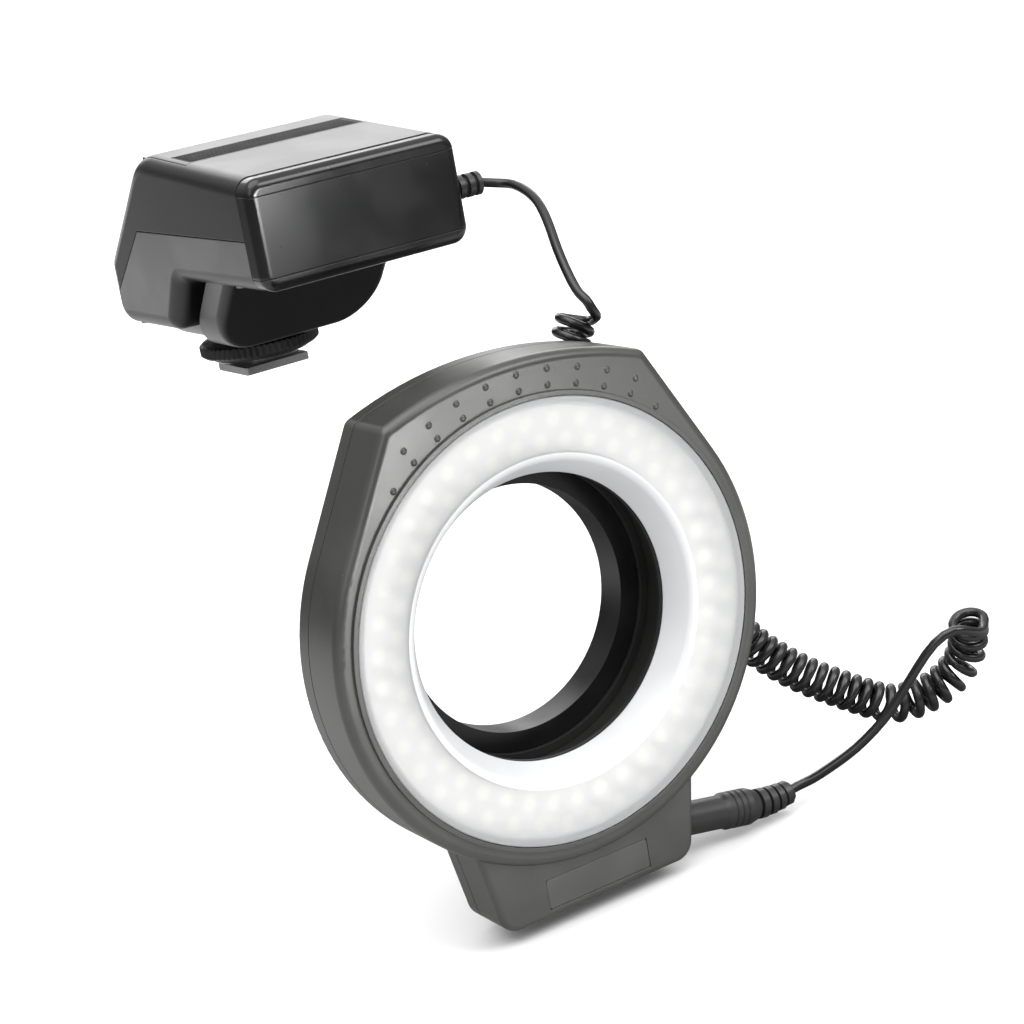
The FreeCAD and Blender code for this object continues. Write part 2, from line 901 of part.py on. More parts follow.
def moved_in(corners, inset):
    """Offset a clockwise or anticlockwise outline inwards, corner by corner."""
    count = len(corners)
    area = 0.0
    for i in range(count):
        y0, z0 = corners[i][:2]
        y1, z1 = corners[(i + 1) % count][:2]
        area += y0 * z1 - y1 * z0
    side = 1.0 if area > 0 else -1.0
    result = []
    for i in range(count):
        before = corners[i - 1]
        here = corners[i]
        after = corners[(i + 1) % count]
        a = Vector(here[0] - before[0], here[1] - before[1], 0).normalize()
        b = Vector(after[0] - here[0], after[1] - here[1], 0).normalize()
        normal_a = Vector(-a.y, a.x, 0) * side
        normal_b = Vector(-b.y, b.x, 0) * side
        shift = (normal_a + normal_b) * (inset / (1 + normal_a.dot(normal_b)))
        turn = (a.x * b.y - a.y * b.x) * side
        radius = here[2]
        if radius > 0:
            radius = max(radius - inset, 0.3) if turn > 0 else radius + inset
        result.append((here[0] + shift.x, here[1] + shift.y, radius))
    return result


def side_prism(corners, half):
    """Extrude a (y, z, rounding) outline over the whole width."""
    count = len(corners)
    starts = []
    ends = []
    arcs = []
    for i in range(count):
        here = Vector(-half, corners[i][0], corners[i][1])
        before = Vector(-half, corners[i - 1][0], corners[i - 1][1])
        after = Vector(-half, corners[(i + 1) % count][0], corners[(i + 1) % count][1])
        radius = corners[i][2]
        if radius == 0:
            starts.append(here)
            ends.append(here)
            arcs.append(None)
            continue
        back = (before - here).normalize()
        on = (after - here).normalize()
        angle = back.getAngle(on)
        reach = radius / math.tan(angle / 2)
        first = here + back * reach
        last = here + on * reach
        middle_way = (back + on).normalize()
        middle = here + middle_way * (radius / math.sin(angle / 2) - radius)
        starts.append(first)
        ends.append(last)
        arcs.append(Part.Arc(first, middle, last).toShape())
    edges = []
    for i in range(count):
        if arcs[i] is not None:
            edges.append(arcs[i])
        edges.append(Part.makeLine(ends[i], starts[(i + 1) % count]))
    return Part.Face(Part.Wire(edges)).extrude(Vector(2 * half, 0, 0))


def case_outline():
    """Side view of the case: long sloping top, steep rear panel, belly and front overhang."""
    return [
        (case_front, top_front_z, 0.0),
        (panel_top[0], panel_top[1], panel_top_r),
        (panel_low[0], panel_low[1], panel_low_r),
        (case_rear, case_bottom, case_rear_r),
        (belly_front, case_bottom, belly_r),
        (overhang_end, overhang_z, overhang_r),
        (case_front, overhang_z, 0.0),
    ]


def case_block(inset, open_front=0.0):
    """The case's outer form moved inwards by inset; open_front carries it out of the front."""
    corners = moved_in(case_outline(), inset)
    front = case_front - open_front
    corners[0] = (front, corners[0][1], 0.0)
    corners[-1] = (front, corners[-1][1], 0.0)
    half = case_half - inset
    prism = side_prism(corners, half)
    edge_r = max(case_side_r - inset, least_round)
    return rounded(prism, edge_r, lambda p: abs(abs(p.x) - half) < near and p.y > front - 1
                   and not (abs(p.y - front) < near and overhang_z + 8 < p.z < top_front_z - 8))


def seam_line(rise):
    """Prism above the seam between the two case shells, moved up by rise."""
    run_y = side_seam_low[0] - side_seam_turn
    run_z = side_seam_low[1] - side_seam_z
    far = 1.8
    low = (side_seam_turn + far * run_y, side_seam_z + far * run_z)
    slope_shift = rise / math.cos(math.atan2(-run_z, run_y))
    turn_shift = (slope_shift - rise) / (-run_z / run_y)
    corners = [
        (case_front - 20, side_seam_z + rise, 0.0),
        (side_seam_turn + turn_shift, side_seam_z + rise, 0.0),
        (low[0], low[1] + slope_shift, 0.0),
        (low[0], panel_top[1] + 20, 0.0),
        (case_front - 20, panel_top[1] + 20, 0.0),
    ]
    return side_prism(corners, case_half + 5)


def pedestal_outline(half, bottom, corner_r, y0):
    """Front view of the pedestal: straight sides and widely rounded lower corners."""
    top = overhang_z + 1.0
    turn = math.sqrt(0.5)
    edges = [
        Part.makeLine(Vector(half, y0, top), Vector(half, y0, bottom + corner_r)),
        Part.Arc(Vector(half, y0, bottom + corner_r),
                 Vector(half - corner_r * (1 - turn), y0, bottom + corner_r * (1 - turn)),
                 Vector(half - corner_r, y0, bottom)).toShape(),
        Part.makeLine(Vector(half - corner_r, y0, bottom), Vector(corner_r - half, y0, bottom)),
        Part.Arc(Vector(corner_r - half, y0, bottom),
                 Vector(corner_r * (1 - turn) - half, y0, bottom + corner_r * (1 - turn)),
                 Vector(-half, y0, bottom + corner_r)).toShape(),
        Part.makeLine(Vector(-half, y0, bottom + corner_r), Vector(-half, y0, top)),
        Part.makeLine(Vector(-half, y0, top), Vector(half, y0, top)),
    ]
    return Part.Face(Part.Wire(edges))


def pedestal_part(half, inset, depth):
    """A slanted slab of the pedestal; with no depth it runs back to the pedestal's rear."""
    bottom = pedestal_bottom + inset
    reach = inset * math.sqrt(1 + pedestal_lean ** 2)
    y0 = pedestal_front_low - 40.0
    bowl = pedestal_outline(half - inset, bottom, pedestal_corner_r - inset, y0)
    bowl = bowl.extrude(Vector(0, pedestal_rear - inset - y0, 0))
    low = 0.0
    high = overhang_z + 2.0
    front_low = pedestal_front_low + pedestal_lean * (pedestal_bottom - low) + reach
    front_high = pedestal_front_low + pedestal_lean * (pedestal_bottom - high) + reach
    back_low = front_low + depth if depth else pedestal_rear + 20
    back_high = front_high + depth if depth else pedestal_rear + 20
    slab = side_prism([
        (front_low, low, 0.0),
        (back_low, low, 0.0),
        (back_high, high, 0.0),
        (front_high, high, 0.0),
    ], case_half)
    part = bowl.common(slab)
    if inset:
        return part

    def on_front(p):
        front = pedestal_front_low + pedestal_lean * (pedestal_bottom - p.z)
        return abs(p.y - front) < 0.02 and p.z < overhang_z + 0.9
    return rounded(part, pedestal_edge_r, lambda p: on_front(p) or (
        abs(p.z - overhang_z - 1.0) < 0.02 and on_front_top(p)))


def on_front_top(p):
    """True at the two top corners of the pedestal's front edge."""
    front = pedestal_front_low + pedestal_lean * (pedestal_bottom - p.z)
    return abs(p.y - front) < 0.02 and abs(abs(p.x) - pedestal_half) < 4.0


def case_screw_places():
    places = []
    for side in (-1, 1):
        places.append((side * case_boss_x, case_boss_front_y, overhang_z, case_split_front))
        places.append((side * case_boss_x, case_boss_rear_y, case_bottom, case_split_rear))
    return places


def lower_shell():
    block = joined([case_block(0), pedestal_part(pedestal_half, 0, pedestal_strip),
                    pedestal_part(pedestal_core_half, 0, 0)])
    hollow = joined([case_block(case_wall, open_reach),
                     pedestal_part(pedestal_half, pedestal_wall, pedestal_strip),
                     pedestal_part(pedestal_core_half, pedestal_wall, 0)])
    shell = block.cut(hollow).cut(seam_line(-case_seam_gap / 2))
    band = seam_line(-case_tongue).cut(seam_line(case_tongue))
    above = seam_line(-case_seam_gap / 2)
    core = case_block(case_wall + case_tongue_wall, open_reach)
    tongue = case_block(case_wall / 2).common(band).cut(above).fuse(
        case_block(case_wall + snug).common(band)).cut(core)
    clip_end = case_front + clip_len
    front_clear = box(-case_half, case_half, case_front - 1, clip_end, overhang_z, top_front_z)
    relief_clear = rod_x(gland_inner_r + snug, 0, case_half - case_wall, relief_y, relief_z)
    tongue = tongue.cut(front_clear).cut(relief_clear)
    for x, y, low, split in case_screw_places():
        tongue = tongue.cut(rod_z(case_boss_r + snug, split, panel_top[1], x, y))
    shell = joined([shell, tongue])
    solids = []
    for x, y, low, split in case_screw_places():
        solids.append(rod_z(case_boss_r, low + case_wall / 2, split, x, y))
    for x in (-main_board_half + post_inset, main_board_half - post_inset):
        for y in (main_board_front + post_inset, main_board_rear - post_inset):
            solids.append(rod_z(board_post_r, overhang_z + case_wall / 2, main_board_z, x, y))
    shell = joined([shell] + solids)
    for x, y, low, split in case_screw_places():
        shell = shell.cut(rod_z(screw_r + snug, low - 1, split + 1, x, y))
        shell = shell.cut(rod_z(screw_head_r + snug, low - 1, low + screw_head_t + snug, x, y))
    inner_half = case_half - case_wall
    for y, z in cell_places()[2:]:
        shell = shell.cut(rod_x(cell_r + cradle_gap, -inner_half, inner_half, y, z))
    shell = shell.cut(rod_z(stud_tip_r + snug, 0, stud_tip, 0, 0))
    return shell.cut(gland_hole())


def gland_hole():
    return rod_x(gland_r + snug, case_half - 2 * case_wall, case_half + 1, relief_y, relief_z)


def slide_way():
    """Unit vector along which the battery door slides, parallel to the top."""
    return Vector(0, 1, top_rise).normalize()


def slope_deg():
    """Slope of the case's top, up towards the rear."""
    return math.degrees(math.atan(top_rise))


def top_z(y):
    """Height of the case's flat top at a place along it."""
    return top_front_z + (panel_top[1] - top_front_z) * (y - case_front) / (panel_top[0] - case_front)


def door_region(gap):
    """Space of the battery door: over the cells and round the rear corner, above a plane
    that lies along the door's own travel."""
    rear = panel_top[0] + 20.0
    corners = [
        (door_front - gap, door_rear_z + top_rise * (door_front - gap) - gap, 0.0),
        (rear, door_rear_z + top_rise * rear - gap, 0.0),
        (rear, panel_top[1] + 10, 0.0),
        (door_front - gap, panel_top[1] + 10, 0.0),
    ]
    return side_prism(corners, door_half + gap)


def upper_shell():
    shell = case_block(0).cut(case_block(case_wall, open_reach)).common(seam_line(case_seam_gap / 2))
    shell = shell.cut(door_region(door_gap)).cut(rail_channel(-1)).cut(rail_channel(1))
    keep = case_block(case_wall / 2)
    bosses = []
    for x, y, low, split in case_screw_places():
        bosses.append(rod_z(case_boss_r, split + snug, panel_top[1], x, y).common(keep))
    shell = joined([shell] + bosses)
    for x, y, low, split in case_screw_places():
        shell = shell.cut(rod_z(screw_r + pilot_gap, split - 1, low + case_screw_len + 1, x, y))
    shell = shell.cut(gland_hole())
    half_slot = slider_knob[0] + slider_travel + slider_side_gap
    slot = box(slider_x - half_slot, slider_x + half_slot, -slider_knob[1] - slider_side_gap,
               slider_knob[1] + slider_side_gap, -2 * case_wall, case_wall)
    cuts = [slot]
    for x in button_xs:
        cuts.append(rod_z(button_r + button_gap, -2 * case_wall, case_wall, x, 0))
    cuts.append(rod_z(lamp_r + snug, -2 * case_wall, case_wall, lamp_x, lamp_y))
    return shell.cut(panel_place(Part.makeCompound(cuts)))


def front_block(inset, y0, y1):
    """Front view of the frame: a rounded rectangle as wide as the case."""
    half = case_half - inset
    low = overhang_z + inset
    high = frame_top - inset
    block = box(-half, half, y0, y1, low, high)
    corner_r = max(case_side_r - inset, least_round)
    return rounded(block, corner_r, lambda p: abs(abs(p.x) - half) < near
                   and (abs(p.z - low) < near or abs(p.z - high) < near))


def frame_solid():
    back = case_front - frame_gap
    front = back - frame_depth
    block = front_block(0, front, back)
    return rounded(block, frame_edge_r, lambda p: abs(p.y - front) < near)


def window_band(gap):
    half = case_half + 1
    return box(-half, half, case_front - 20, case_front + 1, window_low + gap, window_high - gap)


def front_frame():
    back = case_front - frame_gap
    front = back - frame_depth
    inner = window_t + frame_wall
    frame = frame_solid().cut(front_block(inner, front + inner, back + 1))
    skin = frame_solid().cut(front_block(window_t, front + window_t, back + 1))
    frame = frame.cut(skin.common(window_band(0)))
    clips = []
    clip_end = case_front + clip_len
    low = overhang_z + case_wall + snug
    high = top_front_z - case_wall - snug - clip_t
    for x in (-clip_x, clip_x):
        for z in (low, high):
            clips.append(box(x - clip_w / 2, x + clip_w / 2, front + inner, clip_end, z, z + clip_t))
    return joined([frame] + clips)


def front_window():
    """Dark glossy window, flush with the frame and wrapped round its two sides."""
    back = case_front - frame_gap
    front = back - frame_depth
    skin = frame_solid().cut(front_block(window_t - snug, front + window_t - snug, back + 1))
    return skin.common(window_band(window_gap))


def on_top(y):
    """Placement on the case's top, leaning with its slope."""
    return Placement(Vector(0, y, top_z(y)), Rotation(Vector(1, 0, 0), slope_deg()))


def rail_bar(side, gap, width, start, length, rise):
    """Bar along the door's edge, from the rails' underside up to a rise over the inner face
    of the shell's skin, along the top's slope."""
    inner = door_half - rail_web - gap
    outer = door_half - rail_web + width + gap
    under = -case_wall - rail_gap - rail_t - gap
    bar = box(inner, outer, -gap, length + gap, under, rise - case_wall)
    if side < 0:
        bar.translate(Vector(-inner - outer, 0, 0))
    bar.Placement = on_top(start).multiply(bar.Placement)
    return bar


def rail_channel(side):
    """Room in the upper shell for the rails on one side, over the door's whole travel."""
    length = rail_starts[-1] + rail_len + door_travel - rail_starts[0]
    return rail_bar(side, rail_gap / 2, rail_web + rail_reach, rail_starts[0], length, 0.0)


def battery_door():
    door = case_block(0).cut(case_block(door_t)).common(door_region(0))
    rails = []
    for side in (-1, 1):
        for y in rail_starts:
            web = rail_bar(side, 0.0, rail_web, y, rail_len, case_wall / 2)
            rails.append(web.fuse(rail_bar(side, 0.0, rail_web + rail_reach, y, rail_len, -rail_gap)))
    door = joined([door] + rails)
    return door.cut(grip_space(snug))


def grip_space(gap):
    """Shallow bed in the door's front part for the finger grip, parallel to the top."""
    bed = box(-grip_half - gap, grip_half + gap, -gap, grip_w + gap, -grip_depth, 3.0)
    bed.Placement = on_top(door_front + grip_front)
    return bed


def door_grip():
    """Thin ribbed strip in the door's bed."""
    strip = box(-grip_half, grip_half, 0, grip_w, -grip_depth, -0.1)
    ribs = []
    pitch = grip_w / grip_ribs
    half = grip_half - grip_margin
    for k in range(grip_ribs):
        y = (k + 0.5) * pitch
        ribs.append(box(-half, half, y - pitch / 5, y + pitch / 5, -grip_depth / 2, grip_rib_top))
    grip = joined([strip] + ribs)
    grip.Placement = on_top(door_front + grip_front)
    return grip


# Battery compartment

def cell_places():
    """(y, z) of the four cells: two above, two nested below them half a pitch further back."""
    drop = cell_pitch * math.sqrt(0.75)
    half = cell_pitch / 2
    rise = top_rise * cell_pitch
    return [
        (cell_front_y, cell_top_z),
        (cell_front_y + cell_pitch, cell_top_z + rise / 4),
        (cell_front_y + half, cell_top_z - drop),
        (cell_front_y + half + cell_pitch, cell_top_z - drop + rise / 4),
    ]


def contact_face():
    """Distance of the contacts' faces from the middle."""
    return case_half - case_wall - fit_gap - contact_t


def battery_cells():
    cells = []
    for k, (y, z) in enumerate(cell_places()):
        way = 1 if k % 2 == 0 else -1
        nub_end = way * contact_face()
        body_end = nub_end - way * cell_nub
        far_end = body_end - way * cell_len
        body = rod_x(cell_r, min(body_end, far_end), max(body_end, far_end), y, z)
        body = body.makeFillet(cell_edge, [e for e in body.Edges if len(e.Vertexes) == 1])
        nub = rod_x(cell_nub_r, min(nub_end, body_end - way), max(nub_end, body_end - way), y, z)
        cells.append(joined([body, nub]))
    return Part.makeCompound(cells)


def flat_contacts():
    plates = []
    half = contact_w / 2
    face = contact_face()
    for y, z in cell_places():
        for x in (-face - contact_t, face):
            plates.append(box(x, x + contact_t, y - half, y + half, z - half, z + half))
    return Part.makeCompound(plates)


def contact_springs():
    """Flattened conical springs at each cell's flat end, as closed cones."""
    springs = []
    face = contact_face()
    for k, (y, z) in enumerate(cell_places()):
        way = 1 if k % 2 == 0 else -1
        length = 2 * face - cell_nub - cell_len
        cone = turned_z([
            (spring_base_r - spring_wall, 0.0),
            (spring_base_r, 0.0),
            (spring_tip_r, length),
            (spring_tip_r - spring_wall, length),
        ])
        cone.Placement = Placement(Vector(-way * face, y, z), Rotation(Vector(0, 1, 0), 90 * way))
        springs.append(cone)
    return Part.makeCompound(springs)


def cell_bulkhead():
    """Wall between the cells and the main board."""
    back = cell_front_y - cell_r - cradle_gap
    low = overhang_z + case_wall
    half = case_half - case_wall - case_tongue_wall - snug
    plate = box(-half, half, back - bulkhead_t, back, low, top_z(back) - case_wall - rail_gap)
    return plate.common(case_block(case_wall + snug / 2))


def cell_cradle():
    """Ribbed saddle under the lower cells, standing on the belly's floor."""
    floor = case_bottom + case_wall
    half = case_half - case_wall - 3 * snug
    front = belly_front + case_wall + 1.5
    back = case_boss_rear_y - case_boss_r - 1
    base = box(-half + 2, half - 2, front, back, floor, floor + cradle_base_t)
    low_y, low_z = cell_places()[2]
    back_y, back_z = cell_places()[3]
    ribs = []
    for x in (-18.0, 0.0, 18.0):
        rib = box(x - cradle_rib_t / 2, x + cradle_rib_t / 2, front, back_y + cell_r + 1.5,
                  floor + cradle_base_t / 2, back_z - 2.0)
        ribs.append(rib)
    cradle = joined([base] + ribs)
    for y, z in ((low_y, low_z), (back_y, back_z)):
        cradle = cradle.cut(rod_x(cell_r + cradle_gap, -case_half, case_half, y, z))
    return cradle


def main_board():
    return box(-main_board_half, main_board_half, main_board_front, main_board_rear,
               main_board_z, main_board_z + board_t)


def main_board_parts():
    """Inductor, two capacitors, controller, power transistor and the cord's header."""
    top = main_board_z + board_t
    parts = []
    for x, back, r, h in (inductor_can,) + main_cans:
        parts.append(rod_z(r, top, top + h, x, main_board_front + back))
    x, back, r, h = inductor_can
    bore_r, bore_depth = inductor_bore
    bore = rod_z(bore_r, top + h - bore_depth, top + h + 1, x, main_board_front + back)
    parts[0] = parts[0].cut(bore)
    for x, back, w, length, h in main_blocks:
        front = main_board_front + back
        parts.append(box(x, x + w, front, front + length, top, top + h))
    return Part.makeCompound(parts)


def case_screws():
    group = []
    for x, y, low, split in case_screw_places():
        one = screw(case_screw_len)
        one.Placement = Placement(Vector(x, y, low + snug), Rotation(Vector(1, 0, 0), 180))
        group.append(one)
    return Part.makeCompound(group)


# Rear panel

def panel_angle():
    return math.degrees(math.atan2(panel_low[1] - panel_top[1], panel_low[0] - panel_top[0]))


def panel_place(shape):
    """Move a shape from the panel's own plane onto the case's steep rear face."""
    run = Vector(0, panel_low[0] - panel_top[0], panel_low[1] - panel_top[1])
    middle = Vector(0, panel_top[0], panel_top[1]) + run * 0.5 + run.normalize() * panel_shift
    moved = shape.copy()
    moved.Placement = Placement(middle, Rotation(Vector(1, 0, 0), panel_angle()))
    return moved


def control_board():
    board = box(-panel_board_half, panel_board_half, -panel_board_up, panel_board_down,
                panel_board_z - panel_board_t, panel_board_z)
    return panel_place(board)


def slider_plate_top():
    return -case_wall - run_gap


def slider_half_plate():
    return slider_knob[0] + 2 * slider_travel + slider_side_gap + slider_cover


def power_slider():
    """Ribbed knob on a hidden plate that stays wider than the slot."""
    top = slider_plate_top()
    half = slider_half_plate()
    wide = slider_knob[1] + slider_side_gap + 1.1
    plate = box(slider_x - half, slider_x + half, -wide, wide, top - slider_plate_t, top)
    knob = box(slider_x - slider_knob[0], slider_x + slider_knob[0], -slider_knob[1], slider_knob[1],
               top - slider_plate_t / 2, slider_knob[2])
    knob = rounded(knob, 0.4, lambda p: abs(p.z - slider_knob[2]) < near)
    slider = joined([plate, knob])
    for k in (-1, 0, 1):
        x = slider_x + slider_tick_pitch * k
        y = 2 * slider_knob[1]
        slider = slider.cut(rod_y(slider_tick_r, -y, y, x, slider_knob[2]))
    return panel_place(slider)


def switch_body():
    top = slider_plate_top() - slider_plate_t - run_gap
    wide = slider_knob[1] + slider_side_gap + 0.8
    half = switch_body_half
    return panel_place(box(slider_x - half, slider_x + half, -wide, wide, panel_board_z, top))


def button(x):
    top = slider_plate_top()
    stem_end = top - button_flange_t - 1.2
    cap = rod_z(button_r, top - button_flange_t / 2, button_proud, x, 0)
    cap = rounded(cap, 0.5, lambda p: abs(p.z - button_proud) < near)
    flange = rod_z(button_r + button_flange, top - button_flange_t, top, x, 0)
    stem = rod_z(button_stem_r, stem_end, top - button_flange_t / 2, x, 0)
    dish_r = (button_r ** 2 / 4 + button_dish ** 2) / (2 * button_dish)
    dish = Part.makeSphere(dish_r, Vector(x, 0, button_proud + dish_r - button_dish))
    return panel_place(joined([cap, flange, stem]).cut(dish))


def tact_switches():
    stem_end = slider_plate_top() - button_flange_t - 1.2
    top = stem_end - button_travel - run_gap
    group = []
    for x in button_xs:
        body = box(x - tact_half, x + tact_half, -tact_half, tact_half, panel_board_z, top - 0.2)
        plunger = rod_z(button_stem_r, panel_board_z + 0.2, top, x, 0)
        group.append(joined([body, plunger]))
    return panel_place(Part.makeCompound(group))


def pilot_lamp():
    straight = lamp_proud - 0.4
    dome_r = (lamp_r ** 2 + 0.4 ** 2) / 0.8
    lamp = rod_z(lamp_r, panel_board_z, lamp_proud, lamp_x, lamp_y)
    ball = Part.makeSphere(dome_r, Vector(lamp_x, lamp_y, lamp_proud - dome_r))
    tail = rod_z(lamp_r, panel_board_z, straight, lamp_x, lamp_y)
    return panel_place(joined([lamp.common(ball), tail]))


# Foot and lock

def shoe_foot():
    """Plate for the shoe, neck between its rails, and a stud up into the pedestal."""
    plate = box(-foot_w / 2, foot_w / 2, -foot_len / 2, foot_len / 2, 0, foot_t)
    upright = [e for e in plate.Edges if abs(e.BoundBox.ZLength - foot_t) < near]
    plate = plate.makeChamfer(foot_edge, upright)
    neck = box(-neck_w / 2, neck_w / 2, -neck_len / 2, neck_len / 2, foot_t / 2, neck_top)
    stud = rod_z(stud_r, foot_t, pedestal_bottom)
    tip = rod_z(stud_tip_r, pedestal_bottom - 1, stud_tip)
    foot = joined([plate, neck, stud, tip])
    half = key_half + run_gap
    groove = box(-half, half, key_inner - run_gap, stud_r + 1, neck_top, pedestal_bottom - 2 * snug)
    foot = foot.cut(groove)
    foot = foot.cut(rod_z(pin_r + fit_gap, -1, pin_floor + 1))
    return foot.cut(rod_z(pin_pocket_r, pin_floor, pin_pocket_top))


def hexagon(flat, z0, z1):
    r = flat / math.sqrt(3)
    angles = [math.pi / 3 * k for k in range(6)]
    corners = [Vector(r * math.cos(a), r * math.sin(a), z0) for a in angles]
    return Part.Face(Part.makePolygon(corners + corners[:1])).extrude(Vector(0, 0, z1 - z0))


def foot_nut():
    low = pedestal_bottom + pedestal_wall
    nut = hexagon(nut_flat, low, low + nut_t)
    return nut.cut(rod_z(stud_tip_r + fit_gap, low - 1, low + nut_t + 1))


def lock_plate():
    """Keyed washer that presses on the shoe's rails."""
    plate = rod_z(lock_plate_r, lock_plate_z, lock_plate_z + lock_plate_t)
    plate = plate.cut(rod_z(stud_r + fit_gap, lock_plate_z - 1, lock_plate_z + lock_plate_t + 1))
    key = box(-key_half, key_half, key_inner, stud_r + 1, lock_plate_z, lock_plate_z + lock_plate_t)
    return joined([plate, key])


def lock_wheel():
    """Knurled wheel: a ring with a toothed edge, on the stud's thread."""
    low = lock_plate_z + lock_plate_t + lock_gap
    corners = []
    for k in range(2 * knurls):
        r = lock_wheel_r if k % 2 == 0 else lock_wheel_r - knurl_depth
        a = math.pi * k / knurls
        corners.append(Vector(r * math.cos(a), r * math.sin(a), low))
    wheel = Part.Face(Part.makePolygon(corners + corners[:1])).extrude(Vector(0, 0, lock_wheel_t))
    edge = turned_z([
        (0.0, low),
        (lock_wheel_r - 1.0, low),
        (lock_wheel_r, low + 0.8),
        (lock_wheel_r, low + lock_wheel_t - 0.8),
        (lock_wheel_r - 1.0, low + lock_wheel_t),
        (0.0, low + lock_wheel_t),
    ])
    wheel = wheel.common(edge)
    return wheel.cut(rod_z(stud_r + fit_gap, low - 1, low + lock_wheel_t + 1))


def contact_pin():
    low = pin_floor + run_gap
    return joined([
        rod_z(pin_r, -pin_proud, low + pin_flange_t / 2),
        rod_z(pin_flange_r, low, low + pin_flange_t),
    ])


# Cord

def cord_relief():
    """Moulded relief that holds the cord where the two case shells meet."""
    inner = case_half - case_wall - 1.2
    parts = [
        rod_x(gland_r, inner, gland_end, relief_y, relief_z),
        rod_x(gland_flange_r, case_half + fit_gap, case_half + gland_flange_t, relief_y, relief_z),
        rod_x(gland_inner_r, inner, case_half - case_wall - fit_gap, relief_y, relief_z),
    ]
    for step, width in gland_ribs:
        start = case_half + step
        parts.append(rod_x(gland_rib_r, start, start + width, relief_y, relief_z))
    mouth = rod_x(gland_mouth_r, gland_end - gland_mouth, gland_end + 1, relief_y, relief_z)
    return joined(parts).cut(mouth)


def tube_along(points, diameter, name):
    """Round tube along straight runs joined by tangent arcs; prints each arc's radius."""
    edges = []
    radii = []
    length = 0.0
    start = points[0]
    for i in range(1, len(points) - 1):
        here = points[i]
        back = points[i - 1] - here
        on = points[i + 1] - here
        half_turn = (math.pi - back.getAngle(on)) / 2
        reach = 0.45 * min(back.Length, on.Length)
        radius = reach / math.tan(half_turn)
        first = here + back.normalize() * reach
        last = here + on.normalize() * reach
        inwards = (back + on).normalize()
        middle = here + inwards * (radius / math.cos(half_turn) - radius)
        edges.append(Part.LineSegment(start, first).toShape())
        edges.append(Part.Arc(first, middle, last).toShape())
        length += (first - start).Length + 2 * radius * half_turn
        radii.append(round(radius, 1))
        start = last
    edges.append(Part.LineSegment(start, points[-1]).toShape())
    length += (points[-1] - start).Length
    way = points[1] - points[0]
    ring = Part.Wire(Part.makeCircle(diameter / 2, points[0], way))
    tube = Part.Wire(edges).makePipeShell([ring], True, False)
    section = math.pi * diameter ** 2 / 4
    ratio = tube.Volume / (section * length)
    print(name, "length", round(length, 1), "radii", radii, "volume ratio", round(ratio, 4))
    return tube


def turned_frames(curve, count):
    """Points, tangents and a side vector that never twists, along a curve."""
    first = curve.FirstParameter
    last = curve.LastParameter
    frames = []
    side = None
    for i in range(count + 1):
        u = first + (last - first) * i / count
        point = curve.value(u)
        way = curve.tangent(u)[0]
        if side is None:
            side = Vector(1, 0, 0)
        side = side - way * side.dot(way)
        side.normalize()
        frames.append((point, way, Vector(side), curve.curvature(u)))
    return frames


def curl_centres():
    """Points of the curly cord's wire: a left-hand helix about the smooth axis. The pitch
    opens where the axis bends, so that the curls stay as close on the inner side."""
    curve = Part.BSplineCurve()
    curve.buildFromPoles([Vector(*p) for p in curl_route], False, 2)
    steps = 3000
    frames = turned_frames(curve, steps)
    lengths = [0.0]
    for i in range(steps):
        lengths.append(lengths[-1] + (frames[i + 1][0] - frames[i][0]).Length)
    turns = [0.0]
    for i in range(steps):
        bend = min(curl_r * frames[i][3], 0.6)
        pitch = closed_pitch / (1 - bend)
        turns.append(turns[-1] + (lengths[i + 1] - lengths[i]) / pitch)

    def side_angle(frame, wanted):
        across = frame[1].cross(frame[2])
        return math.atan2(wanted.dot(across), wanted.dot(frame[2]))
    start = side_angle(frames[0], Vector(*curl_start))
    stop = side_angle(frames[-1], Vector(*curl_end))
    whole = math.floor(turns[-1] - (start - stop) / (2 * math.pi))
    total = whole + ((start - stop) / (2 * math.pi)) % 1.0
    scale = total / turns[-1]
    print("curls", round(total, 2), "axis length", round(lengths[-1], 1))

    def wire_point(turn):
        low = 0
        high = steps
        while high - low > 1:
            middle = (low + high) // 2
            if turns[middle] * scale <= turn:
                low = middle
            else:
                high = middle
        part = (turn / scale - turns[low]) / (turns[low + 1] - turns[low])
        point = frames[low][0] * (1 - part) + frames[low + 1][0] * part
        way = (frames[low][1] * (1 - part) + frames[low + 1][1] * part).normalize()
        side = frames[low][2] * (1 - part) + frames[low + 1][2] * part
        side = (side - way * side.dot(way)).normalize()
        angle = start - 2 * math.pi * turn
        return point + (side * math.cos(angle) + way.cross(side) * math.sin(angle)) * curl_r
    return wire_point, total


def arc_from(start, way, end):
    """Arc that leaves start along way and reaches end."""
    chord = end - start
    across = (chord - way * chord.dot(way)).normalize()
    radius = chord.dot(chord) / (2 * chord.dot(across))
    centre = start + across * radius
    middle = centre + ((start - centre) + (end - centre)).normalize() * radius
    return Part.Arc(start, middle, end).toShape()


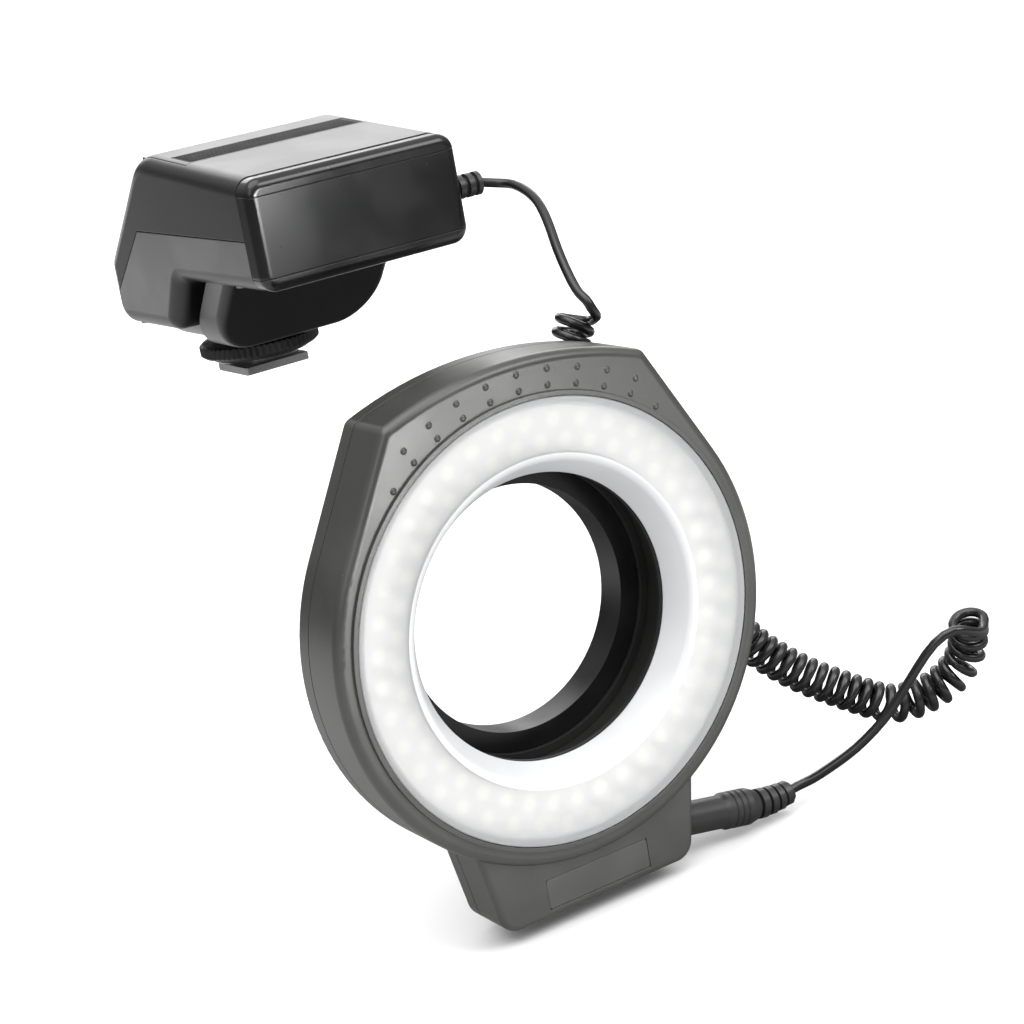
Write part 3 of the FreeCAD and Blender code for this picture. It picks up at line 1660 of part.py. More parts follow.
def curly_path():
    """Edges of the curls as pairs of tangent arcs per half turn, with straight ends."""
    wire_point, total = curl_centres()
    count = int(round(2 * total))
    nodes = []
    for k in range(count + 1):
        turn = total * k / count
        step = 0.002
        before = wire_point(max(turn - step, 0.0))
        after = wire_point(min(turn + step, total))
        nodes.append((wire_point(turn), (after - before).normalize()))
    first_point, first_way = nodes[0]
    last_point, last_way = nodes[-1]
    enter = first_point - first_way * wire_d
    leave = last_point + last_way * wire_d
    edges = [Part.LineSegment(enter, first_point).toShape()]
    for (p0, t0), (p1, t1) in zip(nodes, nodes[1:]):
        span = p1 - p0
        both = t0 + t1
        k = 2 * (1 - t0.dot(t1))
        d = (-span.dot(both) + math.sqrt(span.dot(both) ** 2 + k * span.dot(span))) / k
        meet = (p0 + p1 + (t0 - t1) * d) * 0.5
        edges.append(arc_from(p0, t0, meet))
        edges.append(Part.Arc(meet, back_middle(p1, t1, meet), p1).toShape())
    edges.append(Part.LineSegment(last_point, leave).toShape())
    print_curl_gap(wire_point, total)
    return edges, enter, first_way, leave, last_way


def back_middle(end, way, meet):
    """Middle point of the arc that reaches end along way, from meet."""
    chord = meet - end
    across = (chord - way * chord.dot(way)).normalize()
    radius = chord.dot(chord) / (2 * chord.dot(across))
    centre = end + across * radius
    return centre + ((end - centre) + (meet - centre)).normalize() * radius


def print_curl_gap(wire_point, total):
    """Least gap of the curls to each other, measured on points along the wire."""
    count = int(total * curl_samples)
    points = [wire_point(total * i / count) for i in range(count + 1)]
    skip = int(0.6 * curl_samples)
    least = 1e9
    longest = max((points[i + 1] - points[i]).Length for i in range(count))
    for i in range(count + 1):
        j = i + skip
        while j <= count:
            gap = (points[j] - points[i]).Length - wire_d
            least = min(least, gap)
            j += max(1, int((gap - least) / longest))
    length = sum((points[i + 1] - points[i]).Length for i in range(count))
    print("curl wire length", round(length, 1), "least gap", round(least, 3), "wanted over", curl_clear)


def cord_curls(edges, enter, way):
    ring = Part.Wire(Part.makeCircle(wire_d / 2, enter, way))
    coil = Part.Wire(edges).makePipeShell([ring], True, False)
    length = sum(e.Length for e in edges)
    section = math.pi * wire_d ** 2 / 4
    print("curls volume ratio", round(coil.Volume / (section * length), 4), "valid", coil.isValid())
    return coil


# Plug

def plug_points():
    """The relief's arc: start, end and end direction, in the plug's own axis frame."""
    bend = math.radians(relief_bend_deg)
    radius = relief_len / bend
    start = plug_straight + plug_grip_len + plug_neck_len
    return start, radius, bend


def relief_spot(along):
    """Placement at a distance along the bent relief; the bend turns the end upwards."""
    start, radius, bend = plug_points()
    angle = bend * along / relief_len
    x = -radius * (1 - math.cos(angle))
    z = start + radius * math.sin(angle)
    return Placement(Vector(x, 0, z), Rotation(ALONG_Y, -math.degrees(angle)))


def plug_body():
    start, radius, bend = plug_points()
    grip_start = plug_straight
    outline = [
        (plug_barrel_r + fit_gap, 0.3),
        (plug_r - 0.4, 0.3),
        (plug_r, 0.7),
        (plug_r, grip_start - 1.0),
        (plug_grip_r, grip_start),
    ]
    spacing = plug_grip_len / 4
    for k in range(3):
        middle = grip_start + spacing * (k + 1)
        outline.append((plug_grip_r, middle - plug_groove_w / 2))
        outline.append((plug_grip_r - plug_groove_d, middle))
        outline.append((plug_grip_r, middle + plug_groove_w / 2))
    outline.append((plug_grip_r, grip_start + plug_grip_len))
    outline.append((relief_ribs[0][2], start))
    outline.append((0.0, start))
    outline.append((0.0, 0.3 + plug_barrel_r))
    outline.append((plug_barrel_r + fit_gap, 0.3 + plug_barrel_r))
    body = turned_z(outline)
    first = relief_spot(0.0).Base
    last = relief_spot(relief_len).Base
    middle = relief_spot(relief_len / 2).Base
    spine = Part.Wire([Part.Arc(first, middle, last).toShape()])
    ring = Part.Wire(Part.makeCircle(relief_core_r, first, UP))
    core = spine.makePipeShell([ring], True, False)
    pieces = [body, core]
    for along, width, rib_r in relief_ribs:
        rib = Part.makeCylinder(rib_r, width)
        rib.Placement = relief_spot(along)
        pieces.append(rib)
    return jack_place(joined(pieces))


def plug_barrel():
    barrel = rod_z(plug_barrel_r, -plug_barrel_len + 0.6, 0.3 + plug_barrel_r)
    barrel = barrel.cut(rod_z(plug_barrel_bore, -plug_barrel_len - 1, 0))
    return jack_place(barrel)


def plug_end():
    """End of the plug's relief and the way out of it, in the part's frame."""
    turn = Rotation(ALONG_Y, 90 + box_tilt_deg)
    base = Placement(Vector(wall_half(jack_z), jack_y, jack_z), turn)
    spot = base.multiply(relief_spot(relief_len))
    place = spot.Base + Vector(0, -ring_ahead, -ring_drop)
    way = spot.Rotation.multVec(UP)
    return place, way


def write(name, shape):
    """Keep one named piece and say how many solids it has."""
    problem = "" if shape.isValid() else " NOT VALID"
    solids = shape.Solids
    print(name, len(solids), round(shape.Volume, 1), problem)
    if len(solids) == 1:
        shape = solids[0]
    shape.exportStep("parts/" + name + ".step")


def write_head():
    write("head_front_shell", head_place(head_front_shell()))
    write("head_rear_shell", head_place(head_rear_shell()))
    write("diffuser_ring", head_place(diffuser_ring()))
    write("reflector_tray", head_place(reflector_tray()))
    write("led_board", head_place(led_board()))
    write("leds", head_place(leds()))
    write("inner_tube", head_place(inner_tube()))
    write("retainer_ring", head_place(retainer_ring()))
    write("adapter_ring", head_place(adapter_ring()))
    write("head_screws", head_place(head_screws()))
    write("driver_board", head_place(driver_board()))
    write("driver_parts", head_place(driver_parts()))
    write("board_link", head_place(board_link()))
    write("dc_jack", head_place(dc_jack()))
    write("badge_plate", head_place(badge_plate()))


def write_control_unit():
    write("upper_shell", upper_shell())
    write("lower_shell", lower_shell())
    write("front_frame", front_frame())
    write("front_window", front_window())
    write("battery_door", battery_door())
    write("door_grip", door_grip())
    write("cell_bulkhead", cell_bulkhead())
    write("cell_cradle", cell_cradle())
    write("battery_cells", battery_cells())
    write("flat_contacts", flat_contacts())
    write("contact_springs", contact_springs())
    write("main_board", main_board())
    write("main_board_parts", main_board_parts())
    write("case_screws", case_screws())
    write("control_board", control_board())
    write("switch_body", switch_body())
    write("power_slider", power_slider())
    write("mode_button", button(button_xs[0]))
    write("test_button", button(button_xs[1]))
    write("tact_switches", tact_switches())
    write("pilot_lamp", pilot_lamp())
    write("shoe_foot", shoe_foot())
    write("foot_nut", foot_nut())
    write("lock_plate", lock_plate())
    write("lock_wheel", lock_wheel())
    write("contact_pin", contact_pin())


def write_cord():
    write("cord_relief", cord_relief())
    edges, enter, first_way, leave, last_way = curly_path()
    write("cord_curls", cord_curls(edges, enter, first_way))
    gland = Vector(gland_end - lead_start, relief_y, relief_z)
    upper = [gland] + [Vector(*p) for p in upper_route] + [enter - first_way * wire_d, enter]
    write("upper_lead", tube_along(upper, wire_d, "upper lead"))
    end, way = plug_end()
    lower = [leave, leave + last_way * wire_d] + [Vector(*p) for p in lower_route]
    lower = lower + [end + way * plug_exit * wire_d, end]
    write("lower_lead", tube_along(lower, wire_d, "lower lead"))
    write("plug", head_place(plug_body()))
    write("plug_barrel", head_place(plug_barrel()))


write_head()
write_control_unit()
write_cord()
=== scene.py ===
# Macro ring light: the ring head, its control unit on a shoe foot and the curly cord.
import bpy
import math
import numpy as np
from mathutils import Matrix, Vector


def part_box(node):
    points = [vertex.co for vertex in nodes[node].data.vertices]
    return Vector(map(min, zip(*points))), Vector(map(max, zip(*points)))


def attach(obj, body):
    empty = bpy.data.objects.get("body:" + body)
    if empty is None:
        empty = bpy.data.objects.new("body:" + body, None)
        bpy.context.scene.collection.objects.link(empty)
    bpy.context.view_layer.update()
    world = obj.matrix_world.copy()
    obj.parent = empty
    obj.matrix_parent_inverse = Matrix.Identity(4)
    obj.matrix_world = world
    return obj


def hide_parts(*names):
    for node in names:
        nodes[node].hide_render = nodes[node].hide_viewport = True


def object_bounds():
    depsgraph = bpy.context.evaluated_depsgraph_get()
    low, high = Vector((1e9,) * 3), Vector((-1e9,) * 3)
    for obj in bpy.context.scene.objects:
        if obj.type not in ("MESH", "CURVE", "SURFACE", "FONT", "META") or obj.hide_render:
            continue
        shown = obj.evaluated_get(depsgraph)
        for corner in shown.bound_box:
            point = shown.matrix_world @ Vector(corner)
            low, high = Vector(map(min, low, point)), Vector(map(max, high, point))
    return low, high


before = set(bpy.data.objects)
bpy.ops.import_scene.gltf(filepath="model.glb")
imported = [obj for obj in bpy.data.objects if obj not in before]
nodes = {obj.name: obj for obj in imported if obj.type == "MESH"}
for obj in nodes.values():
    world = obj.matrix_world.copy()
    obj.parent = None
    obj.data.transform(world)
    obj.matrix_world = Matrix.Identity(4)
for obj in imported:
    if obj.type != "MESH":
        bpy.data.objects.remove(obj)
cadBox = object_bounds()
scene = bpy.context.scene
mm = 0.001
print("frame loaded:", len(nodes), "nodes")


# Camera, at the photograph's viewing angle

cameraView = {
    "place": (-0.26014, -0.578866, 0.120606),
    "azimuth": 29.457,
    "down": 15.319,
    "roll": -10.225,
    "lens": 84.375,
    "sensor": 36.0,
}


def makeCamera(view):
    # Looks along the azimuth, tilted down, then rolled about its own line of sight
    data = bpy.data.cameras.new("photoCamera")
    data.lens = view["lens"]
    data.sensor_width = view["sensor"]
    data.clip_end = 60.0
    camera = bpy.data.objects.new("photoCamera", data)
    turn = Matrix.Rotation(math.radians(-view["azimuth"]), 4, "Z")
    tilt = Matrix.Rotation(math.radians(90.0 - view["down"]), 4, "X")
    roll = Matrix.Rotation(math.radians(view["roll"]), 4, "Z")
    camera.matrix_world = Matrix.Translation(view["place"]) @ turn @ tilt @ roll
    scene.collection.objects.link(camera)
    scene.camera = camera


makeCamera(cameraView)
print("camera placed")


# Small helpers for meshes and shader nodes

def link(piece):
    scene.collection.objects.link(piece)
    return piece


def addNode(tree, kind, **values):
    # A shader node with its properties set by name; socket values go in through feed
    node = tree.nodes.new(kind)
    for key, value in values.items():
        setattr(node, key, value)
    return node


def feed(tree, node, sockets):
    # Each socket takes a number or colour, or the output socket of another node
    for label, value in sockets.items():
        socket = node.inputs[label]
        if isinstance(value, bpy.types.NodeSocket):
            tree.links.new(value, socket)
        else:
            socket.default_value = value
    return node


def maths(tree, operation, *values):
    node = addNode(tree, "ShaderNodeMath", operation=operation)
    for index, value in enumerate(values):
        if isinstance(value, bpy.types.NodeSocket):
            tree.links.new(value, node.inputs[index])
        else:
            node.inputs[index].default_value = value
    return node.outputs[0]


def blendColour(tree, factor, first, second):
    node = addNode(tree, "ShaderNodeMix", data_type="RGBA")
    for socket, value in ((node.inputs[0], factor), (node.inputs[6], first), (node.inputs[7], second)):
        if isinstance(value, bpy.types.NodeSocket):
            tree.links.new(value, socket)
        else:
            socket.default_value = value if isinstance(value, float) else (*value, 1.0)
    return node.outputs[2]


def spread(tree, value, low, high, toLow, toHigh):
    node = addNode(tree, "ShaderNodeMapRange", interpolation_type="SMOOTHSTEP")
    feed(tree, node, {"Value": value, "From Min": low, "From Max": high, "To Min": toLow, "To Max": toHigh})
    return node.outputs[0]


def newGroup(name, inputs, outputs):
    group = bpy.data.node_groups.new(name, "ShaderNodeTree")
    for label, value in inputs:
        socket = group.interface.new_socket(label, in_out="INPUT", socket_type="NodeSocketFloat")
        socket.default_value = value
    for label, kind in outputs:
        group.interface.new_socket(label, in_out="OUTPUT", socket_type=kind)
    return group, group.nodes.new("NodeGroupInput"), group.nodes.new("NodeGroupOutput")


def useGroup(tree, group, values):
    node = addNode(tree, "ShaderNodeGroup", node_tree=group)
    return feed(tree, node, values)


# Shared effects: moulded grain, softened edges with a painted edge highlight, settled dust

effects = {
    "mottleScale": 65.0,
    "edgeSamples": 4,
    "speckScale": 420.0,
    "patchScale": 90.0,
    "dustTone": (0.55, 0.54, 0.52),
    "grainDepth": 0.05,
}


def makeMouldedGrain():
    # Height: fine noise of a grain Size in mm. Tone: slow mottling, about 15 mm across
    group, start, end = newGroup("mouldedGrain", [("Size", 0.4)],
                                 [("Height", "NodeSocketFloat"), ("Tone", "NodeSocketFloat")])
    place = addNode(group, "ShaderNodeTexCoord").outputs["Object"]
    fine = addNode(group, "ShaderNodeTexNoise")
    scale = maths(group, "DIVIDE", 1.0 / mm, start.outputs["Size"])
    feed(group, fine, {"Vector": place, "Scale": scale, "Detail": 3.0, "Roughness": 0.55})
    slow = addNode(group, "ShaderNodeTexNoise")
    feed(group, slow, {"Vector": place, "Scale": effects["mottleScale"], "Detail": 4.0, "Roughness": 0.5})
    group.links.new(fine.outputs[0], end.inputs["Height"])
    group.links.new(spread(group, slow.outputs[0], 0.3, 0.7, 0.0, 1.0), end.inputs["Tone"])
    return group


def makeSoftEdge():
    # Normal: the surface with its edges rounded to Radius in mm. Edge: where that turns it
    group, start, end = newGroup("softEdge", [("Radius", 0.2)],
                                 [("Normal", "NodeSocketVector"), ("Edge", "NodeSocketFloat")])
    bevel = addNode(group, "ShaderNodeBevel", samples=effects["edgeSamples"])
    feed(group, bevel, {"Radius": maths(group, "MULTIPLY", start.outputs["Radius"], mm)})
    face = addNode(group, "ShaderNodeNewGeometry").outputs["Normal"]
    dot = addNode(group, "ShaderNodeVectorMath", operation="DOT_PRODUCT")
    group.links.new(bevel.outputs[0], dot.inputs[0])
    group.links.new(face, dot.inputs[1])
    turned = maths(group, "SUBTRACT", 1.0, dot.outputs["Value"])
    group.links.new(bevel.outputs[0], end.inputs["Normal"])
    group.links.new(spread(group, turned, 0.01, 0.25, 0.0, 1.0), end.inputs["Edge"])
    return group


def makeSettledDust():
    # Mask: sparse specks, more of them on faces that look up
    group, start, end = newGroup("settledDust", [("Amount", 0.3)], [("Mask", "NodeSocketFloat")])
    place = addNode(group, "ShaderNodeTexCoord").outputs["Object"]
    specks = addNode(group, "ShaderNodeTexVoronoi", feature="F1")
    feed(group, specks, {"Vector": place, "Scale": effects["speckScale"], "Randomness": 1.0})
    patches = addNode(group, "ShaderNodeTexNoise")
    feed(group, patches, {"Vector": place, "Scale": effects["patchScale"], "Detail": 3.0})
    normal = addNode(group, "ShaderNodeSeparateXYZ")
    group.links.new(addNode(group, "ShaderNodeNewGeometry").outputs["Normal"], normal.inputs[0])
    upward = spread(group, normal.outputs[2], -0.2, 1.0, 0.25, 1.0)
    dots = spread(group, specks.outputs["Distance"], 0.09, 0.04, 0.0, 1.0)
    where = spread(group, patches.outputs[0], 0.5, 0.66, 0.0, 1.0)
    mask = maths(group, "MULTIPLY", maths(group, "MULTIPLY", dots, where),
                 maths(group, "MULTIPLY", upward, start.outputs["Amount"]))
    group.links.new(mask, end.inputs["Mask"])
    return group


mouldedGrain = makeMouldedGrain()
softEdge = makeSoftEdge()
settledDust = makeSettledDust()


def newMaterial(name):
    material = bpy.data.materials.new(name)
    material.use_nodes = True
    tree = material.node_tree
    return material, tree, tree.nodes["Principled BSDF"]


def addRelief(tree, grain, strength):
    # Grain over the whole surface, as deep as the strength's share of the grain's depth
    bump = addNode(tree, "ShaderNodeBump")
    return feed(tree, bump, {"Strength": strength, "Distance": effects["grainDepth"] * mm,
                             "Height": grain.outputs["Height"]})


def setShader(shader, look):
    # Constants go on the shader's own sockets
    for key, value in look.get("shader", {}).items():
        shader.inputs[key].default_value = value


def solidFinish(name, look):
    # Colour: two near tones in slow patches, a painted highlight lighter along the edges, specks of dust.
    # Roughness follows the patches. Relief: grain over softened edges.
    material, tree, shader = newMaterial(name)
    grain = useGroup(tree, mouldedGrain, {"Size": look["grain"]})
    edge = useGroup(tree, softEdge, {"Radius": look["edge"]})
    dust = useGroup(tree, settledDust, {"Amount": look["dust"]})
    tone = blendColour(tree, grain.outputs["Tone"], look["dark"], look["light"])
    # Painted highlight: along the edges the colour is painted lighter, towards the highlight tone
    paintedEdgeHighlight = maths(tree, "MULTIPLY", edge.outputs["Edge"], look["edgeHighlightShare"])
    tone = blendColour(tree, paintedEdgeHighlight, tone, look["edgeHighlightTone"])
    tone = blendColour(tree, dust.outputs["Mask"], tone, effects["dustTone"])
    rough = spread(tree, grain.outputs["Tone"], 0.0, 1.0, look["smooth"], look["rough"])
    bump = addRelief(tree, grain, look["relief"])
    feed(tree, bump, {"Normal": edge.outputs["Normal"]})
    feed(tree, shader, {"Base Color": tone, "Roughness": rough, "Normal": bump.outputs[0]})
    setShader(shader, look)
    return material


def coat(material, *names):
    for name in names:
        data = nodes[name].data
        if not data.materials:
            data.materials.append(material)
        for slot in nodes[name].material_slots:
            slot.material = material


# Ring head: charcoal moulded plastic

headLook = {
    "dark": (0.040, 0.041, 0.038), "light": (0.049, 0.050, 0.046), "edgeHighlightTone": (0.11, 0.11, 0.105),
    "edgeHighlightShare": 0.35, "dust": 0.2, "smooth": 0.28, "rough": 0.33, "grain": 0.42, "relief": 0.35,
    "edge": 0.25, "shader": {"Specular IOR Level": 0.6},
}
shellCharcoal = solidFinish("shellCharcoal", headLook)
coat(shellCharcoal, "head_front_shell", "head_rear_shell")

badgeLook = dict(headLook, dark=(0.05, 0.05, 0.049), light=(0.06, 0.06, 0.058), smooth=0.3, rough=0.38,
                 grain=0.3, relief=0.15)
coat(solidFinish("badgePlain", badgeLook), "badge_plate")
print("ring head finished")


# Control unit: satin black plastic with a glossier frame and window

caseLook = {
    "dark": (0.0055, 0.0056, 0.0056), "light": (0.0075, 0.0076, 0.0075), "edgeHighlightTone": (0.04, 0.04, 0.04),
    "edgeHighlightShare": 0.25, "dust": 0.2, "smooth": 0.31, "rough": 0.34, "grain": 0.35, "relief": 0.14,
    "edge": 0.3, "shader": {"Specular IOR Level": 0.5},
}
caseBlack = solidFinish("caseBlack", caseLook)
coat(caseBlack, "upper_shell", "lower_shell", "battery_door")

frameLook = dict(caseLook, smooth=0.14, rough=0.2, relief=0.05, grain=0.6)
frameBlack = solidFinish("frameBlack", frameLook)
coat(frameBlack, "front_frame")

windowLook = dict(caseLook, dark=(0.004, 0.0042, 0.0045), light=(0.006, 0.0062, 0.0065), smooth=0.15,
                  rough=0.19, relief=0.02, grain=2.0, edgeHighlightShare=0.1)
coat(solidFinish("windowDark", windowLook), "front_window")

gripLook = dict(caseLook, dark=(0.006, 0.006, 0.006), light=(0.009, 0.009, 0.009), smooth=0.55, rough=0.7,
                relief=0.3, edge=0.08)
coat(solidFinish("gripBlack", gripLook), "door_grip")

buttonLook = dict(caseLook, dark=(0.16, 0.16, 0.16), light=(0.19, 0.19, 0.19), edgeHighlightTone=(0.3, 0.3, 0.3),
                  smooth=0.4, rough=0.5)
coat(solidFinish("buttonGrey", buttonLook), "mode_button", "power_slider")

testLook = dict(buttonLook, dark=(0.5, 0.13, 0.02), light=(0.58, 0.16, 0.025), edgeHighlightTone=(0.65, 0.3, 0.1))
coat(solidFinish("buttonOrange", testLook), "test_button")

wheelLook = dict(caseLook, smooth=0.38, rough=0.48, edge=0.15, relief=0.25)
coat(solidFinish("wheelBlack", wheelLook), "lock_wheel", "lock_plate")
print("control unit finished")


# Inner tube, lens ring and the parts inside

tubeLook = dict(caseLook, dark=(0.008, 0.008, 0.0075), light=(0.011, 0.011, 0.010), smooth=0.6, rough=0.72,
                relief=0.3)
coat(solidFinish("tubeBlack", tubeLook), "inner_tube", "retainer_ring")

ringLook = {
    "dark": (0.018, 0.018, 0.019), "light": (0.024, 0.024, 0.025), "edgeHighlightTone": (0.2, 0.2, 0.2),
    "edgeHighlightShare": 0.4, "dust": 0.15, "smooth": 0.3, "rough": 0.4, "grain": 0.3, "relief": 0.1,
    "edge": 0.12, "shader": {"Metallic": 0.6},
}
coat(solidFinish("ringMetal", ringLook), "adapter_ring")

steelLook = dict(ringLook, dark=(0.42, 0.42, 0.41), light=(0.5, 0.5, 0.49), edgeHighlightTone=(0.7, 0.7, 0.7),
                 smooth=0.25, rough=0.38, shader={"Metallic": 1.0})
steel = solidFinish("steel", steelLook)
coat(steel, "head_screws", "case_screws", "foot_nut", "flat_contacts", "contact_springs", "plug_barrel")

footLook = dict(ringLook, dark=(0.3, 0.3, 0.3), light=(0.36, 0.36, 0.36), smooth=0.3, rough=0.42,
                shader={"Metallic": 1.0})
coat(solidFinish("footMetal", footLook), "shoe_foot")

goldLook = dict(ringLook, dark=(0.8, 0.56, 0.2), light=(0.85, 0.62, 0.25), edgeHighlightTone=(0.9, 0.8, 0.6),
                smooth=0.2, rough=0.3, shader={"Metallic": 1.0})
coat(solidFinish("pinGold", goldLook), "contact_pin")

boardLook = dict(caseLook, dark=(0.012, 0.07, 0.025), light=(0.018, 0.09, 0.035), edgeHighlightTone=(0.3, 0.28, 0.15),
                 smooth=0.35, rough=0.45, relief=0.1)
coat(solidFinish("boardGreen", boardLook), "led_board", "driver_board", "main_board", "control_board")

chipLook = dict(caseLook, smooth=0.45, rough=0.6)
coat(solidFinish("boardParts", chipLook), "driver_parts", "main_board_parts", "board_link", "dc_jack",
     "tact_switches", "switch_body")

cellLook = dict(caseLook, dark=(0.10, 0.115, 0.13), light=(0.12, 0.135, 0.15), smooth=0.25, rough=0.35)
coat(solidFinish("cellWrap", cellLook), "battery_cells")

cradleLook = dict(caseLook, smooth=0.5, rough=0.6)
coat(solidFinish("cradleBlack", cradleLook), "cell_cradle", "cell_bulkhead")

lampLook = dict(caseLook, dark=(0.35, 0.01, 0.008), light=(0.42, 0.015, 0.01), edgeHighlightTone=(0.5, 0.1, 0.1),
                smooth=0.1, rough=0.16, relief=0.02)
coat(solidFinish("lampRed", lampLook), "pilot_lamp")

trayLook = dict(headLook, dark=(0.72, 0.72, 0.71), light=(0.78, 0.78, 0.77), edgeHighlightTone=(0.85, 0.85, 0.85),
                smooth=0.45, rough=0.6, edgeHighlightShare=0.1, dust=0.0, relief=0.1)
coat(solidFinish("trayWhite", trayLook), "reflector_tray")

# The diodes are not lit: their faint emission is a painted glow, so that they show brighter through the
# diffuser
ledLook = dict(trayLook, dark=(0.88, 0.88, 0.84), light=(0.93, 0.93, 0.88), smooth=0.15, rough=0.25,
               shader={"Emission Color": (1.0, 0.99, 0.95, 1.0), "Emission Strength": 0.44})
coat(solidFinish("ledPaintedGlow", ledLook), "leds")
print("inner parts finished")


# Diffuser: frosted ring with a dished face and a smooth collar down to the tube

diffuserShape = {
    "outerR": 52.0, "windowR": 37.6, "throatR": 33.5, "dish": 1.2, "depth": 8.3, "wall": 1.4,
    "flangeR": 53.8, "flangeFront": 2.9, "flangeBack": 4.1, "collarR": 39.4,
    "lipRound": 0.45, "flangeRound": 0.1, "endRound": 0.3, "innerBend": 1.6, "outerBend": 2.6,
    "around": 288, "arcPoints": 7,
}


def roundedOutline(corners, arcPoints):
    # Closed outline with each corner (r, y, rounding) replaced by points on its tangent arc
    points = np.array([c[:2] for c in corners])
    back = np.roll(points, 1, axis=0) - points
    on = np.roll(points, -1, axis=0) - points
    back /= np.linalg.norm(back, axis=1, keepdims=True)
    on /= np.linalg.norm(on, axis=1, keepdims=True)
    half = np.arccos(np.clip((back * on).sum(1), -1, 1)) / 2
    radius = np.array([c[2] for c in corners])
    middle = back + on
    middle /= np.linalg.norm(middle, axis=1, keepdims=True)
    centre = points + middle * (radius / np.sin(half))[:, None]
    first = points + back * (radius / np.tan(half))[:, None] - centre
    last = points + on * (radius / np.tan(half))[:, None] - centre
    share = np.linspace(0, 1, arcPoints)[None, :, None]
    spanAngle = (math.pi - 2 * half)[:, None, None]
    arc = (np.sin((1 - share) * spanAngle) * first[:, None] + np.sin(share * spanAngle) * last[:, None])
    arc = arc / np.sin(spanAngle) + centre[:, None]
    return arc.reshape(-1, 2)


def ringMesh(name, outline, centre, around):
    # Point = centre + (r cos a, y, r sin a): the outline turned about the light's axis
    angle = np.linspace(0, 2 * math.pi, around, endpoint=False)
    r = outline[None, :, 0]
    y = np.repeat(outline[None, :, 1], around, axis=0)
    grid = np.stack([r * np.cos(angle)[:, None], y, r * np.sin(angle)[:, None]], axis=-1)
    points = grid.reshape(-1, 3) + np.array(centre)
    count = len(outline)
    a, p = np.meshgrid(np.arange(around), np.arange(count), indexing="ij")
    here = a * count + p
    along = a * count + (p + 1) % count
    across = ((a + 1) % around) * count + p
    both = ((a + 1) % around) * count + (p + 1) % count
    faces = np.stack([here, along, both, across], axis=-1).reshape(-1, 4)
    corner = points[faces]
    volume = np.einsum("ij,ij->i", corner[:, 0], np.cross(corner[:, 1], corner[:, 2])).sum()
    volume += np.einsum("ij,ij->i", corner[:, 0], np.cross(corner[:, 2], corner[:, 3])).sum()
    if volume < 0:
        faces = faces[:, ::-1]
    mesh = bpy.data.meshes.new(name)
    mesh.from_pydata(points.tolist(), [], faces.tolist())
    mesh.polygons.foreach_set("use_smooth", np.ones(len(faces), bool))
    mesh.update()
    return link(bpy.data.objects.new(name, mesh))


def makeDiffuser(shape):
    # Corners run from the front lip over the flange and the back to the throat, in mm: r, y, rounding
    low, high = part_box("diffuser_ring")
    centre = ((low.x + high.x) / 2, low.y, (low.z + high.z) / 2)
    wall = shape["wall"]
    small = shape["flangeRound"]
    corners = [
        (shape["outerR"], 0.0, shape["lipRound"]),
        (shape["outerR"], shape["flangeFront"], small),
        (shape["flangeR"], shape["flangeFront"], small),
        (shape["flangeR"], shape["flangeBack"], small),
        (shape["outerR"] - wall, shape["flangeBack"], small),
        (shape["outerR"] - wall, wall + 0.1, shape["endRound"]),
        (shape["windowR"] + 1.0, shape["dish"] + wall, shape["innerBend"]),
        (shape["throatR"] + wall, shape["depth"], shape["endRound"]),
        (shape["throatR"], shape["depth"], shape["endRound"]),
        (shape["windowR"], shape["dish"], shape["outerBend"]),
    ]
    outline = roundedOutline(corners, shape["arcPoints"]) * mm
    piece = ringMesh("diffuser", outline, centre, shape["around"])
    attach(piece, "light_and_case")
    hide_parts("diffuser_ring")
    return piece, centre


frostLook = {
    "rows": (42.0, 47.0), "count": 40, "spotIn": 0.8, "spotOut": 2.6,
    "between": (0.78, 0.785, 0.795), "spot": (0.85, 0.85, 0.84),
    "smooth": 0.34, "rough": 0.38, "grain": 0.5, "relief": 0.12,
    "shader": {"Transmission Weight": 0.66, "IOR": 1.46},
}


